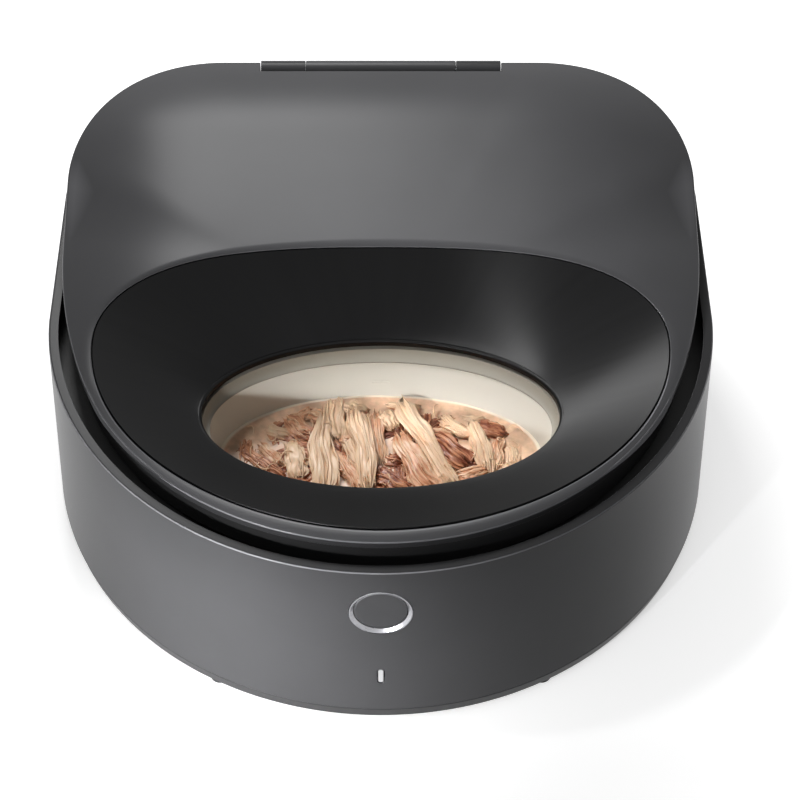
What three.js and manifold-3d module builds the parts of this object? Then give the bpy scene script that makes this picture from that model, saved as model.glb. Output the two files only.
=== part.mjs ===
// Wet food pet feeder: a low D-shaped base with a turning tray of three bowls, under a hinged
// lid whose dished mouth stands over one bowl at a time and can be closed by a sliding shutter.
// Millimetres, +Z up, +X right, -Y front. The origin is on the floor, midway between front and
// back, which is also the centre of the round front.
import * as THREE from 'three';
import { mergeVertices } from 'three/addons/utils/BufferGeometryUtils.js';
import Module from 'manifold-3d';

const wasm = await Module();
wasm.setup();

// Clearances shared by all pieces
const seatGap = 0.3;
const runGap = 0.4;
const cutOverrun = 3;

// Body outline: a half circle in front, nearly straight sides and two round back corners.
// It is as deep as it is wide.
const bodyRadius = 155;
const bodySideTaper = 2.5;
const bodyCornerRadius = 75;
const bodyBack = bodyRadius;
const bodyCornerX = bodyRadius - bodySideTaper - bodyCornerRadius;
const bodyCornerY = bodyBack - bodyCornerRadius;

// Outer shell
const partingZ = 10;
const rimTopZ = 106.4;
const shellWall = 2.8;
const rimWidth = 4.6;
const rimDepth = 3;
const rimChamfer = 0.6;
const shellBottomZ = partingZ + seatGap;

// Base plate and feet
const plateBottomZ = 1.5;
const plateFloor = 2.5;
const plateWall = 2.6;
const plateTaper = 1.6;
const plateChamfer = 2.2;
const plateFloorZ = plateBottomZ + plateFloor;
const footRadius = 10;
const footHeight = 2;
const footChamfer = 0.6;
const footInset = 27.7;
const footReach = (bodyRadius - footInset) * Math.SQRT1_2;

// Screws that join the base plate to the shell's posts
const screwShaftRadius = 1.5;
const screwHeadRadius = 3.2;
const screwHeadHeight = 1.8;
const screwLength = 13;
const screwRecess = 0.6;
const postRadius = 4.6;
const postHeight = 24;
const postInset = 6.4;
const frontPostDeg = 60;
const backPostDeg = 45;

// Tray well and its flange
const hubY = 11;
const trayMargin = 40;
const trayRadius = bodyRadius - trayMargin;
const trayTopZ = 90;
const trayBottomZ = 46;
const trayDeck = 2.4;
const traySkirt = 10;
const trayWall = 2;
const trayEdgeGap = 2.5;
const trayFloorGap = 2.5;
const linerWall = 2.5;
const linerTopZ = 91.5;
const wellRadius = trayRadius + trayEdgeGap;
const linerFloorZ = trayBottomZ - trayFloorGap;
const linerUnderZ = linerFloorZ - linerWall;
const insulationThickness = 6.5;
const insulationGap = 3.5;

// Bowls, as wide as the partitions between them and the tray's round edge leave room for
const hubAcrossRadius = 13;
const socketWall = 3.6;
const bowlCount = 3;
const bowlSocketGap = 6.6;
const bowlRimWidth = 6.8;
const bowlPartition = 2.9;
const bowlInnerReach = hubAcrossRadius + socketWall + bowlSocketGap;
const bowlHalfDepth = (trayRadius - bowlRimWidth - bowlInnerReach) / 2;
const bowlReach = bowlInnerReach + bowlHalfDepth;
const bowlSector = Math.PI / bowlCount;
const bowlEdgeShare = 1.3;
const bowlPartitionWidth = Math.sqrt((bowlReach * Math.sin(bowlSector) - bowlPartition) ** 2
  - (bowlHalfDepth * Math.sin(bowlSector)) ** 2) / Math.cos(bowlSector);
const bowlEdgeWidth = Math.sqrt(bowlEdgeShare * bowlHalfDepth * trayRadius);
const bowlHalfWidth = Math.min(bowlPartitionWidth, bowlEdgeWidth);
const bowlFloor = 2;
const bowlDraftInset = 4.2;
const bowlDraftZ = 72;
const bowlKneeInset = 7;
const bowlKneeZ = 54;
const bowlToeInset = 13;
const foodLevelZ = 71.5;
const foodCrown = 3.2;
const foodRipple = 1.6;
const foodCrownShares = [0.75, 0.5, 0.25];
const foodLobes = 5;
const foodTwist = 9;

// Lid outline: round in front, flaring out to straight sides with two round back corners
const lidFrontGap = 11;
const lidSideGap = 4.5;
const lidBackGap = 2;
const lidFrontRadius = bodyRadius - lidFrontGap;
const lidHalfWidth = bodyRadius - lidSideGap;
const lidBack = bodyBack - lidBackGap;
const lidCornerRadius = 73.5;
const lidCornerX = lidHalfWidth - lidCornerRadius;
const lidCornerY = lidBack - lidCornerRadius;
const lidFrontEndDeg = 18;
const lidFlareRise = 34.5;
const lidFlareEndY = lidCornerY - lidFlareRise;
const lidFlarePull = 30;

// Mouth: the window under the dish, and the dish's own outline in plan
const windowMargin = 2.9;
const windowY = hubY - bowlReach;
const windowHalfWidth = bowlHalfWidth + windowMargin;
const windowHalfDepth = bowlHalfDepth + windowMargin;
const windowEdgeZ = 101.6;
const dishY = -27;
const dishSideRim = 17.3;
const dishFrontRim = 7.5;
const dishHalfWidth = lidHalfWidth - dishSideRim;
const dishFrontReach = lidFrontRadius - dishFrontRim + dishY;
const dishBackReach = 51.8;
const dishFrontPowerShare = 1.91;
const dishBackPowerShare = 2.5;
const dishFrontZ = 115.4;
const dishWall = 2.2;
const dishLip = 1.8;
const dishLipBottomZ = 98.6;
const dishFlange = 0.6;
const dishFlangeThickness = 1;
const dishDrop = 0.7;
const dishEdgeGap = 0.5;
const dishCurveShare = 1.12;

// Turntable drive
const hubTopZ = 54;
const hubShaftRadius = 5;
const hubSides = 6;
const hubFootZ = 22;
const bearingWall = 3.7;
const bearingFlange = 4;
const bearingFlangeThickness = 2.3;
const gearModule = 2;
const gearTeeth = 36;
const gearRadius = (gearTeeth * gearModule) / 2;
const motorPinionTeeth = 12;
const gearBottomZ = 30;
const gearThickness = 6;
const gearBacklash = 0.35;
const addendumShare = 0.8;
const dedendumShare = 1.05;
const pressureAngle = THREE.MathUtils.degToRad(20);
const motorDirection = THREE.MathUtils.degToRad(200);
const motorRadius = 14;
const motorBossRadius = 5;
const motorBossHeight = 1.2;
const pinionStubRadius = 2;
const pinionStubLength = 5;

// Cooling stack under the back of the well
const sinkGearGap = 20;
const sinkBackGap = 28;
const sinkFrontY = hubY + gearRadius + sinkGearGap;
const sinkBackY = bodyBack - sinkBackGap;
const sinkDepth = sinkBackY - sinkFrontY;
const coolerY = (sinkFrontY + sinkBackY) / 2;
const coldPlateWidth = 96;
const coldPlateMargin = 1;
const coldPlateDepth = sinkDepth + 2 * coldPlateMargin;
const coldPlateThickness = 3;
const moduleSide = 40;
const moduleThickness = 3.8;
const sinkWidth = 90;
const sinkBaseThickness = 3;
const finCount = 12;
const finThickness = 1.6;
const fanSide = 60;
const fanDepth = 12;
const fanDuctRadius = 28;
const fanHubRadius = 10;
const fanBladeCount = 7;
const fanBladeChord = 9;
const fanBladeThickness = 1.3;
const fanBladePitch = THREE.MathUtils.degToRad(40);
const fanSpokeHeight = 2;
const fanSpokeWidth = 4;
const fanSpokeCount = 3;
const fanPostRadius = 1.8;
const fanPostHeight = 6;
const grilleSlotCount = 9;
const grilleSlotWidth = 3;
const ventSlotCount = 13;
const ventSlotWidth = 3;
const ventBottomZ = 16;
const ventTopZ = 32;
const ventHalfSpan = 42;

// Boards
const boardThickness = 1.6;
const mainBoardInset = 77;
const mainBoardX = bodyRadius - mainBoardInset;
const mainBoardY = -42;
const mainBoardWidth = 66;
const mainBoardDepth = 54;
const standoffHeight = 10;
const standoffRadius = 3;
const standoffMargin = 5;
const chipHeight = 3.5;
const chipSide = 14;
const canRadius = 5;
const canHeight = 12;
const buttonBoardHalfWidth = 24;
const buttonBoardBottomZ = 24;
const buttonBoardTopZ = 87;
const pegRadius = 2.2;
const pegSpread = 20;
const wallToBoard = 12.5;

// Feed button and status light in the front wall
const buttonZ = 79.1;
const ringRadius = 14.2;
const ringWidth = 1.2;
const ringDepth = 6;
const ringRecess = 0.1;
const buttonRecess = 0.5;
const buttonFlange = 1.4;
const buttonFlangeThickness = 1.3;
const buttonTravel = 1.5;
const plungerRadius = 4;
const switchHalfWidth = 3;
const switchHeight = 3;
const lightZ = 34.4;
const lightHalfHeight = 4.8;
const lightHalfWidth = 1.5;

// Power inlet
const jackX = 60;
const jackZ = 26;
const jackRadius = 5.2;
const jackBoreRadius = 2.9;
const jackPinRadius = 1;
const jackPinLength = 9;
const jackBodyWidth = 13;
const jackBodyHeight = 11;
const jackBodyLength = 13;
const jackBoreDepth = 10;

// Lid
const lidLift = 4.2;
const lidBottomZ = rimTopZ + lidLift;
const lidSideWall = 2.8;
const lidTopWall = 2.4;
const lidBevel = 0.7;
const lidEdgeZ = 114.4;
const lidBackEdgeZ = 130.7;
const lidRiseRun = 113;
const lidRiseStartY = lidBack - lidRiseRun;
const hoodFrontZ = 115.9;
const hoodFrontInset = 2.7;
const hoodFrontY = -(lidFrontRadius - hoodFrontInset);
const hoodSlopeShare = 0.086;
const hoodCrownInset = 54.4;
const hoodCrownY = lidBack - hoodCrownInset;
const hoodCrownRadius = 143;
const shoulderWidth = 91.5;
const shoulderStart = lidHalfWidth - shoulderWidth;
const shoulderRun = 73;
const shoulderDrop = 8.1;
const dishRiseAhead = 53;
const dishRiseBehind = 7;
const dishRiseStartY = dishY - dishRiseAhead;
const dishRiseEndY = dishY + dishRiseBehind;

// Lid pan, which closes the lid from below
const panInset = lidSideWall + seatGap;
const panWall = 2;
const panBottomZ = 93.9;
const panFloor = 2.7;
const panLap = 0.7;
const panTopZ = lidBottomZ + panLap;
const panFloorZ = panBottomZ + panFloor;
const sealBottomZ = trayTopZ + runGap;
const sealTaper = 3.2;
const sealWall = 2.4;
const gasketOffset = 4.5;
const gasketInner = wellRadius + gasketOffset;
const gasketWidth = 4.5;
const magnetRadius = 4;
const magnetThickness = 2.5;
const magnetInset = 24;
const magnetY = -(bodyRadius - magnetInset);

// Lid hinge at the back
const hingeInset = 3.5;
const hingeY = lidBack - hingeInset;
const hingeZ = 127.7;
const knuckleRadius = 5.2;
const hingePinRadius = 1.6;
const centreKnuckleHalf = 35;
const lugInner = 37;
const lugOuter = 58;
const notchHalf = 59.2;
const notchReach = 6;
const notchY = hingeY - notchReach;
const notchWall = 2.4;

// Shutter, its rails and its drive
const shutterSideLap = 3.5;
const shutterLap = 3.6;
const shutterParkGap = 2.8;
const shutterHalfWidth = windowHalfWidth + shutterSideLap;
const shutterThickness = 1.4;
const shutterFrontY = windowY + windowHalfDepth + shutterParkGap;
const shutterLength = 2 * (windowHalfDepth + shutterLap);
const shutterTravel = shutterFrontY + shutterLap - (windowY - windowHalfDepth);
const shutterCorner = 30;
const shutterHeel = 8;
const shutterZ = panFloorZ + seatGap;
const rackModule = 1;
const rackPinionTeeth = 16;
const rackOffset = 5;
const rackPitchX = shutterHalfWidth + rackOffset;
const rackEndMargin = 4;
const rackArmWidth = 4.6;
const rackHeight = 3;
const rackBacklash = 0.3;
const shutterPinionBehind = 5.2;
const shutterPinionY = dishY + dishBackReach + shutterPinionBehind;
const rackStartY = shutterPinionY - rackEndMargin;
const rackEndY = shutterPinionY + shutterTravel + rackEndMargin;
const shutterPinionHeight = 3;
const railWidth = 4;
const railLip = 1.4;
const railLipThickness = 1;
const railFrontReach = 3.3;
const railBackInset = 1.5;
const rightRailInset = 18;
const railFrontY = windowY - railFrontReach;
const railBackY = shutterFrontY + shutterLength - railBackInset;
const rightRailBackY = shutterPinionY - rightRailInset;
const shutterMotorRadius = 10;
const shutterMotorTopZ = 121;
const shutterMotorFootWidth = 6;
const shutterMotorFootDepth = 14;

// Counts of steps on the round stretches
const frontSteps = 28;
const cornerSteps = 7;
const flareSteps = 4;
const sideSteps = 5;
const backSteps = 3;
const wellSteps = 48;
const bowlSteps = 28;
const rodSteps = 12;
const knuckleSteps = 16;

// Colours and finishes
const finishes = {
  body: { color: 0x4a4a4c, roughness: 0.5, metalness: 0.35 },
  blackSatin: { color: 0x161617, roughness: 0.3, metalness: 0.3 },
  blackPlastic: { color: 0x141415, roughness: 0.6, metalness: 0 },
  greyPlastic: { color: 0x5c5a55, roughness: 0.55, metalness: 0 },
  cream: { color: 0xe3ddd0, roughness: 0.45, metalness: 0 },
  taupe: { color: 0x9c968a, roughness: 0.7, metalness: 0 },
  food: { color: 0xc9966b, roughness: 0.5, metalness: 0 },
  chrome: { color: 0xd8d8dc, roughness: 0.15, metalness: 1 },
  steel: { color: 0xa8abb0, roughness: 0.35, metalness: 1 },
  aluminium: { color: 0xb9bcc0, roughness: 0.4, metalness: 1 },
  rubber: { color: 0x222222, roughness: 0.9, metalness: 0 },
  foam: { color: 0xd9d9d6, roughness: 0.95, metalness: 0 },
  board: { color: 0x1f5c3a, roughness: 0.6, metalness: 0 },
  ceramic: { color: 0xeeeeea, roughness: 0.6, metalness: 0 },
  light: { color: 0xf4f6f8, roughness: 0.3, metalness: 0 },
  nylon: { color: 0xe9e6dc, roughness: 0.5, metalness: 0 },
};

// Solids and geometries

// Turns the faces of a closed indexed geometry outwards.
function facingOut(geometry) {
  const place = geometry.attributes.position;
  const index = geometry.index.array;
  const a = new THREE.Vector3();
  const b = new THREE.Vector3();
  const c = new THREE.Vector3();
  let volume = 0;
  for (let i = 0; i < index.length; i += 3) {
    a.fromBufferAttribute(place, index[i]);
    b.fromBufferAttribute(place, index[i + 1]);
    c.fromBufferAttribute(place, index[i + 2]);
    volume += a.dot(b.cross(c));
  }
  if (volume < 0) {
    for (let i = 0; i < index.length; i += 3) {
      [index[i + 1], index[i + 2]] = [index[i + 2], index[i + 1]];
    }
  }
  return geometry;
}

// Makes a solid of a closed geometry.
function solid(geometry) {
  geometry.deleteAttribute('normal');
  geometry.deleteAttribute('uv');
  const merged = mergeVertices(geometry);
  const kept = [];
  const index = merged.index.array;
  for (let i = 0; i < index.length; i += 3) {
    const [p, q, r] = [index[i], index[i + 1], index[i + 2]];
    if (p !== q && q !== r && r !== p) kept.push(p, q, r);
  }
  merged.setIndex(kept);
  facingOut(merged);
  return new wasm.Manifold(new wasm.Mesh({
    numProp: 3,
    vertProperties: Float32Array.from(merged.attributes.position.array),
    triVerts: Uint32Array.from(merged.index.array),
  }));
}

function geometryOf(body) {
  const mesh = body.getMesh();
  const geometry = new THREE.BufferGeometry();
  geometry.setAttribute('position', new THREE.BufferAttribute(mesh.vertProperties, mesh.numProp));
  geometry.setIndex(new THREE.BufferAttribute(mesh.triVerts, 1));
  return geometry;
}

const joined = (bodies) => bodies.reduce((sum, body) => sum.add(body));
const cut = (body, cutters) => cutters.reduce((rest, cutter) => rest.subtract(cutter), body);

// Skins a stack of rings with equal point counts. Open stacks get a cap at each end.
function loft(rings, capped) {
  const count = rings[0].length;
  const points = rings.flat();
  const faces = [];
  const spans = capped ? rings.length - 1 : rings.length;
  for (let r = 0; r < spans; r += 1) {
    const low = r * count;
    const high = ((r + 1) % rings.length) * count;
    for (let i = 0; i < count; i += 1) {
      const j = (i + 1) % count;
      faces.push(low + i, low + j, high + j, low + i, high + j, high + i);
    }
  }
  if (capped) {
    for (const [ring, base] of [[0, 0], [rings.length - 1, (rings.length - 1) * count]]) {
      const middle = rings[ring].reduce((sum, p) => sum.map((v, k) => v + p[k] / count), [0, 0, 0]);
      const apex = points.push(middle) - 1;
      for (let i = 0; i < count; i += 1) {
        const j = (i + 1) % count;
        if (ring === 0) faces.push(apex, base + j, base + i);
        else faces.push(apex, base + i, base + j);
      }
    }
  }
  const geometry = new THREE.BufferGeometry();
  geometry.setAttribute('position', new THREE.Float32BufferAttribute(points.flat(), 3));
  geometry.setIndex(faces);
  return solid(geometry);
}

const level = (outline, z) => outline.map(([x, y]) => [x, y, z]);
const prism = (outline, z0, z1) => loft([level(outline, z0), level(outline, z1)], true);

// An extruded plate of any simple outline.
function plate(outline, z0, z1) {
  const shape = new THREE.Shape(outline.map(([x, y]) => new THREE.Vector2(x, y)));
  const geometry = new THREE.ExtrudeGeometry(shape, { depth: z1 - z0, bevelEnabled: false });
  geometry.translate(0, 0, z0);
  return solid(geometry);
}

function block(x0, x1, y0, y1, z0, z1) {
  const geometry = new THREE.BoxGeometry(x1 - x0, y1 - y0, z1 - z0);
  geometry.translate((x0 + x1) / 2, (y0 + y1) / 2, (z0 + z1) / 2);
  return solid(geometry);
}

// A turned body about the vertical line through x, y. The profile holds [radius, z] pairs.
function turned(profile, x, y, steps = rodSteps) {
  const closed = profile[0][0] === 0 ? profile : [...profile, profile[0]];
  const points = closed.map(([radius, z]) => new THREE.Vector2(radius, z));
  const geometry = new THREE.LatheGeometry(points, steps);
  geometry.rotateX(Math.PI / 2);
  geometry.translate(x, y, 0);
  return solid(geometry);
}

function rodZ(radius, x, y, z0, z1, steps = rodSteps) {
  return turned([[0, z0], [radius, z0], [radius, z1], [0, z1]], x, y, steps);
}

function rodX(radius, x0, x1, y, z, steps = rodSteps) {
  const geometry = new THREE.CylinderGeometry(radius, radius, x1 - x0, steps);
  geometry.rotateZ(Math.PI / 2);
  geometry.translate((x0 + x1) / 2, y, z);
  return solid(geometry);
}

// A turned body about a line along Y through x, z. The profile holds [radius, y] pairs.
function turnedY(profile, x, z, steps = rodSteps) {
  const closed = profile[0][0] === 0 ? profile : [...profile, profile[0]];
  const points = closed.map(([radius, y]) => new THREE.Vector2(radius, y));
  const geometry = new THREE.LatheGeometry(points, steps);
  geometry.translate(x, 0, z);
  return solid(geometry);
}

const rodY = (radius, x, y0, y1, z, steps) => turnedY(
  [[0, y0], [radius, y0], [radius, y1], [0, y1]], x, z, steps);

// Outlines, each a list of [x, y] points that runs anticlockwise seen from above

// Points on an arc, without its last point.
function arc(x, y, radius, startDeg, endDeg, steps) {
  return Array.from({ length: steps }, (_, i) => {
    const angle = THREE.MathUtils.degToRad(startDeg + ((endDeg - startDeg) * i) / steps);
    return [x + radius * Math.cos(angle), y + radius * Math.sin(angle)];
  });
}

// Points on a straight line, without its last point.
function line([x0, y0], [x1, y1], steps) {
  return Array.from({ length: steps }, (_, i) => [
    x0 + ((x1 - x0) * i) / steps,
    y0 + ((y1 - y0) * i) / steps,
  ]);
}

function bodyOutline(inset) {
  const side = bodyCornerX + bodyCornerRadius - inset;
  const back = bodyBack - inset;
  const front = bodyRadius - inset;
  const corner = bodyCornerRadius - inset;
  return [
    ...arc(bodyCornerX, bodyCornerY, corner, 0, 90, cornerSteps),
    ...line([bodyCornerX, back], [-bodyCornerX, back], 1),
    ...arc(-bodyCornerX, bodyCornerY, corner, 90, 180, cornerSteps),
    ...line([-side, bodyCornerY], [-front, 0], 1),
    ...arc(0, 0, front, 180, 360, frontSteps),
    ...line([front, 0], [side, bodyCornerY], 1),
  ];
}

// The flare from the round front of the lid to its straight right side.
function lidFlare(inset) {
  const angle = THREE.MathUtils.degToRad(lidFrontEndDeg);
  const start = new THREE.Vector2(Math.cos(angle), -Math.sin(angle));
  start.multiplyScalar(lidFrontRadius - inset);
  const leave = new THREE.Vector2(Math.sin(angle), Math.cos(angle));
  leave.multiplyScalar(lidFlarePull).add(start);
  const end = new THREE.Vector2(lidHalfWidth - inset, lidFlareEndY);
  const arrive = new THREE.Vector2(end.x, end.y - lidFlarePull);
  const curve = new THREE.CubicBezierCurve(start, leave, arrive, end);
  return curve.getPoints(flareSteps).map((p) => [p.x, p.y]);
}

function lidOutline(inset) {
  const side = lidHalfWidth - inset;
  const back = lidBack - inset;
  const corner = lidCornerRadius - inset;
  const rightFlare = lidFlare(inset);
  const leftFlare = rightFlare.map(([x, y]) => [-x, y]).reverse();
  return [
    ...arc(lidCornerX, lidCornerY, corner, 0, 90, cornerSteps),
    ...line([lidCornerX, back], [-lidCornerX, back], backSteps),
    ...arc(-lidCornerX, lidCornerY, corner, 90, 180, cornerSteps),
    ...line([-side, lidCornerY], [-side, lidFlareEndY], sideSteps),
    ...leftFlare.slice(0, -1),
    ...arc(0, 0, lidFrontRadius - inset, 180 + lidFrontEndDeg, 360 - lidFrontEndDeg, frontSteps),
    ...rightFlare.slice(0, -1),
    ...line([side, lidFlareEndY], [side, lidCornerY], sideSteps),
  ];
}

// Directions from the dish's centre to the lid's outline: the dish and lid share them.
const spokes = lidOutline(0).map(([x, y]) => Math.atan2(y - dishY, x));

// The dish's outline, moved outwards by the margin, as points on the shared spokes.
function dishOutline(margin) {
  return spokes.map((angle) => {
    const back = Math.sin(angle) > 0;
    const reach = back ? dishBackReach : dishFrontReach;
    const power = back ? dishBackPowerShare : dishFrontPowerShare;
    const across = Math.abs(Math.cos(angle) / (dishHalfWidth + margin)) ** power;
    const along = Math.abs(Math.sin(angle) / (reach + margin)) ** power;
    const radius = (across + along) ** (-1 / power);
    return [radius * Math.cos(angle), dishY + radius * Math.sin(angle)];
  });
}

// The window's oval, moved outwards by the margin, with one point for each spoke.
function windowOutline(margin) {
  return spokes.map((angle) => [
    (windowHalfWidth + margin) * Math.cos(angle),
    windowY + (windowHalfDepth + margin) * Math.sin(angle),
  ]);
}

// A bowl's oval, moved inwards by the inset, turned about the hub by the bowl's angle.
function bowlOutline(inset, turn) {
  return Array.from({ length: bowlSteps }, (_, i) => {
    const angle = (2 * Math.PI * i) / bowlSteps;
    const x = (bowlHalfWidth - inset) * Math.cos(angle);
    const y = windowY - hubY + (bowlHalfDepth - inset) * Math.sin(angle);
    return [
      x * Math.cos(turn) - y * Math.sin(turn),
      hubY + x * Math.sin(turn) + y * Math.cos(turn),
    ];
  });
}

// Heights of the lid

const smoothStep = (value, start, end) => THREE.MathUtils.smoothstep(value, start, end);

// The hood's own surface: a gentle slope with soft shoulders and a rounded back.
function hoodHeight(x, y) {
  const slopeAngle = Math.atan(hoodSlopeShare);
  const crownZ = hoodFrontZ + hoodSlopeShare * (hoodCrownY - hoodFrontY);
  const centreY = hoodCrownY + hoodCrownRadius * Math.sin(slopeAngle);
  const centreZ = crownZ - hoodCrownRadius * Math.cos(slopeAngle);
  const past = Math.min(Math.max(y - centreY, -hoodCrownRadius), hoodCrownRadius);
  const along = y <= hoodCrownY
    ? hoodFrontZ + hoodSlopeShare * (y - hoodFrontY)
    : centreZ + Math.sqrt(hoodCrownRadius ** 2 - past ** 2);
  const beyond = Math.max(0, Math.abs(x) - shoulderStart) / shoulderRun;
  return along - shoulderDrop * beyond ** 3;
}

// The height of the lid's outer edge, level in front and rising towards the hinge.
const edgeHeight = (y) => lidEdgeZ
  + (lidBackEdgeZ - lidEdgeZ) * smoothStep(y, lidRiseStartY, lidBack);

// The height of the lid where it meets the dish.
function dishEdgeHeight([x, y]) {
  const rise = smoothStep(y, dishRiseStartY, dishRiseEndY);
  return dishFrontZ + (hoodHeight(x, y) - dishFrontZ) * rise;
}

// One ring of the lid's top: share 0 is at the dish and share 1 at the lid's outer edge.
function lidTopRing(share, margin, inset, lower) {
  const inner = dishOutline(margin);
  const outer = lidOutline(inset);
  return inner.map((from, i) => {
    const to = outer[i];
    const x = from[0] + (to[0] - from[0]) * share;
    const y = from[1] + (to[1] - from[1]) * share;
    const ends = dishEdgeHeight(from) * (1 - share) + edgeHeight(to[1]) * share;
    const chord = hoodHeight(...from) * (1 - share) + hoodHeight(...to) * share;
    return [x, y, ends + hoodHeight(x, y) - chord - lower];
  });
}

// Gears

const involute = (angle) => Math.tan(angle) - angle;

// A gear's outline with a tooth on the direction given by turn.
function gearOutline(teeth, module, backlash, turn, x, y) {
  const pitchRadius = (teeth * module) / 2;
  const baseRadius = pitchRadius * Math.cos(pressureAngle);
  const tipRadius = pitchRadius + module * addendumShare;
  const rootRadius = pitchRadius - module * dedendumShare;
  const halfTooth = Math.PI / (2 * teeth) - backlash / (2 * pitchRadius);
  const flankStart = Math.max(baseRadius, rootRadius);
  const half = (radius) => halfTooth + involute(pressureAngle)
    - involute(Math.acos(Math.min(1, baseRadius / radius)));
  const flank = [
    [rootRadius, half(flankStart)],
    [flankStart + (tipRadius - flankStart) / 2, half(flankStart + (tipRadius - flankStart) / 2)],
    [tipRadius, half(tipRadius)],
  ];
  const outline = [];
  for (let tooth = 0; tooth < teeth; tooth += 1) {
    const middle = turn + (2 * Math.PI * tooth) / teeth;
    const rising = flank.map(([radius, angle]) => [radius, middle - angle]);
    const falling = flank.map(([radius, angle]) => [radius, middle + angle]).reverse();
    for (const [radius, angle] of [...rising, ...falling]) {
      outline.push([x + radius * Math.cos(angle), y + radius * Math.sin(angle)]);
    }
  }
  return outline;
}

const motorPinionRadius = (motorPinionTeeth * gearModule) / 2;
const rackPinionRadius = (rackPinionTeeth * rackModule) / 2;
const motorX = (gearRadius + motorPinionRadius) * Math.cos(motorDirection);
const motorY = hubY + (gearRadius + motorPinionRadius) * Math.sin(motorDirection);
const shutterPinionX = rackPitchX + rackPinionRadius;
const shutterPinionZ = shutterZ + seatGap;

// Base

// The places of the posts and screws, near the wall in front and in the back corners.
function postPlaces() {
  const front = THREE.MathUtils.degToRad(frontPostDeg);
  const back = THREE.MathUtils.degToRad(backPostDeg);
  const frontReach = bodyRadius - postInset;
  const backReach = bodyCornerRadius - postInset;
  const frontX = frontReach * Math.cos(front);
  const backX = bodyCornerX + backReach * Math.cos(back);
  const frontY = -frontReach * Math.sin(front);
  const backY = bodyCornerY + backReach * Math.sin(back);
  return [[-frontX, frontY], [frontX, frontY], [-backX, backY], [backX, backY]];
}

const postHoleRadius = screwShaftRadius + seatGap;
const boardFrontY = -(bodyRadius - shellWall) + wallToBoard;
const ringFrontY = -bodyRadius + ringRecess;
const buttonBackY = ringFrontY + ringDepth + seatGap + buttonFlangeThickness;

function outerShell() {
  const wallProfile = [
    [0, shellBottomZ],
    [0, rimTopZ - rimChamfer],
    [rimChamfer, rimTopZ],
    [rimWidth, rimTopZ],
    [rimWidth, rimTopZ - rimDepth],
    [shellWall, rimTopZ - rimDepth - rimWidth + shellWall],
    [shellWall, shellBottomZ],
  ];
  const wall = loft(wallProfile.map(([inset, z]) => level(bodyOutline(inset), z)), false);
  const posts = postPlaces().map(([x, y]) => rodZ(postRadius, x, y, shellBottomZ,
    shellBottomZ + postHeight));
  const pegs = [-pegSpread, pegSpread].map((x) => rodY(pegRadius, x,
    -(bodyRadius - shellWall / 2), boardFrontY - seatGap, buttonZ));
  const lugs = [-1, 1].flatMap((side) => {
    const [x0, x1] = [side * lugInner, side * lugOuter].sort((a, b) => a - b);
    return [
      rodX(knuckleRadius, x0, x1, hingeY, hingeZ, knuckleSteps),
      block(x0, x1, hingeY + seatGap, bodyBack - seatGap, rimTopZ - rimDepth, hingeZ),
    ];
  });
  const holes = [
    rodY(ringRadius + seatGap, 0, -bodyRadius - cutOverrun, -bodyRadius + shellWall + cutOverrun,
      buttonZ, wellSteps / 2),
    stadiumY(lightHalfWidth + seatGap, lightHalfHeight + seatGap, lightZ,
      -bodyRadius - cutOverrun, -bodyRadius + shellWall + cutOverrun),
    rodY(jackRadius + seatGap, jackX, bodyBack - shellWall - cutOverrun, bodyBack + cutOverrun, jackZ),
    rodX(hingePinRadius + seatGap, -lugOuter - cutOverrun, lugOuter + cutOverrun, hingeY, hingeZ),
  ];
  const pilots = postPlaces().map(([x, y]) => rodZ(postHoleRadius, x, y,
    shellBottomZ - cutOverrun, screwTopZ + seatGap));
  return cut(joined([wall, ...posts, ...pegs, ...lugs]), [...holes, ...pilots, ...ventSlots()]);
}

// A slot with round ends, upright in the front wall.
function stadiumY(halfWidth, halfHeight, z, y0, y1) {
  const straight = halfHeight - halfWidth;
  return joined([
    block(-halfWidth, halfWidth, y0, y1, z - straight, z + straight),
    rodY(halfWidth, 0, y0, y1, z - straight),
    rodY(halfWidth, 0, y0, y1, z + straight),
  ]);
}

function ventSlots() {
  const pitch = (2 * ventHalfSpan) / (ventSlotCount - 1);
  return Array.from({ length: ventSlotCount }, (_, i) => {
    const x = -ventHalfSpan + i * pitch;
    return block(x - ventSlotWidth / 2, x + ventSlotWidth / 2,
      bodyBack - shellWall - cutOverrun, bodyBack + cutOverrun, ventBottomZ, ventTopZ);
  });
}

const screwBottomZ = plateBottomZ + screwRecess;
const screwTopZ = screwBottomZ + screwHeadHeight + screwLength;

function footPlaces() {
  return [[-footReach, -footReach], [footReach, -footReach], [-footReach, footReach],
    [footReach, footReach]];
}

function boardPlaces() {
  const halfX = mainBoardWidth / 2 - standoffMargin;
  const halfY = mainBoardDepth / 2 - standoffMargin;
  return [[-1, -1], [1, -1], [-1, 1], [1, 1]].map(([sx, sy]) => [
    mainBoardX + sx * halfX, mainBoardY + sy * halfY]);
}

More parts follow.
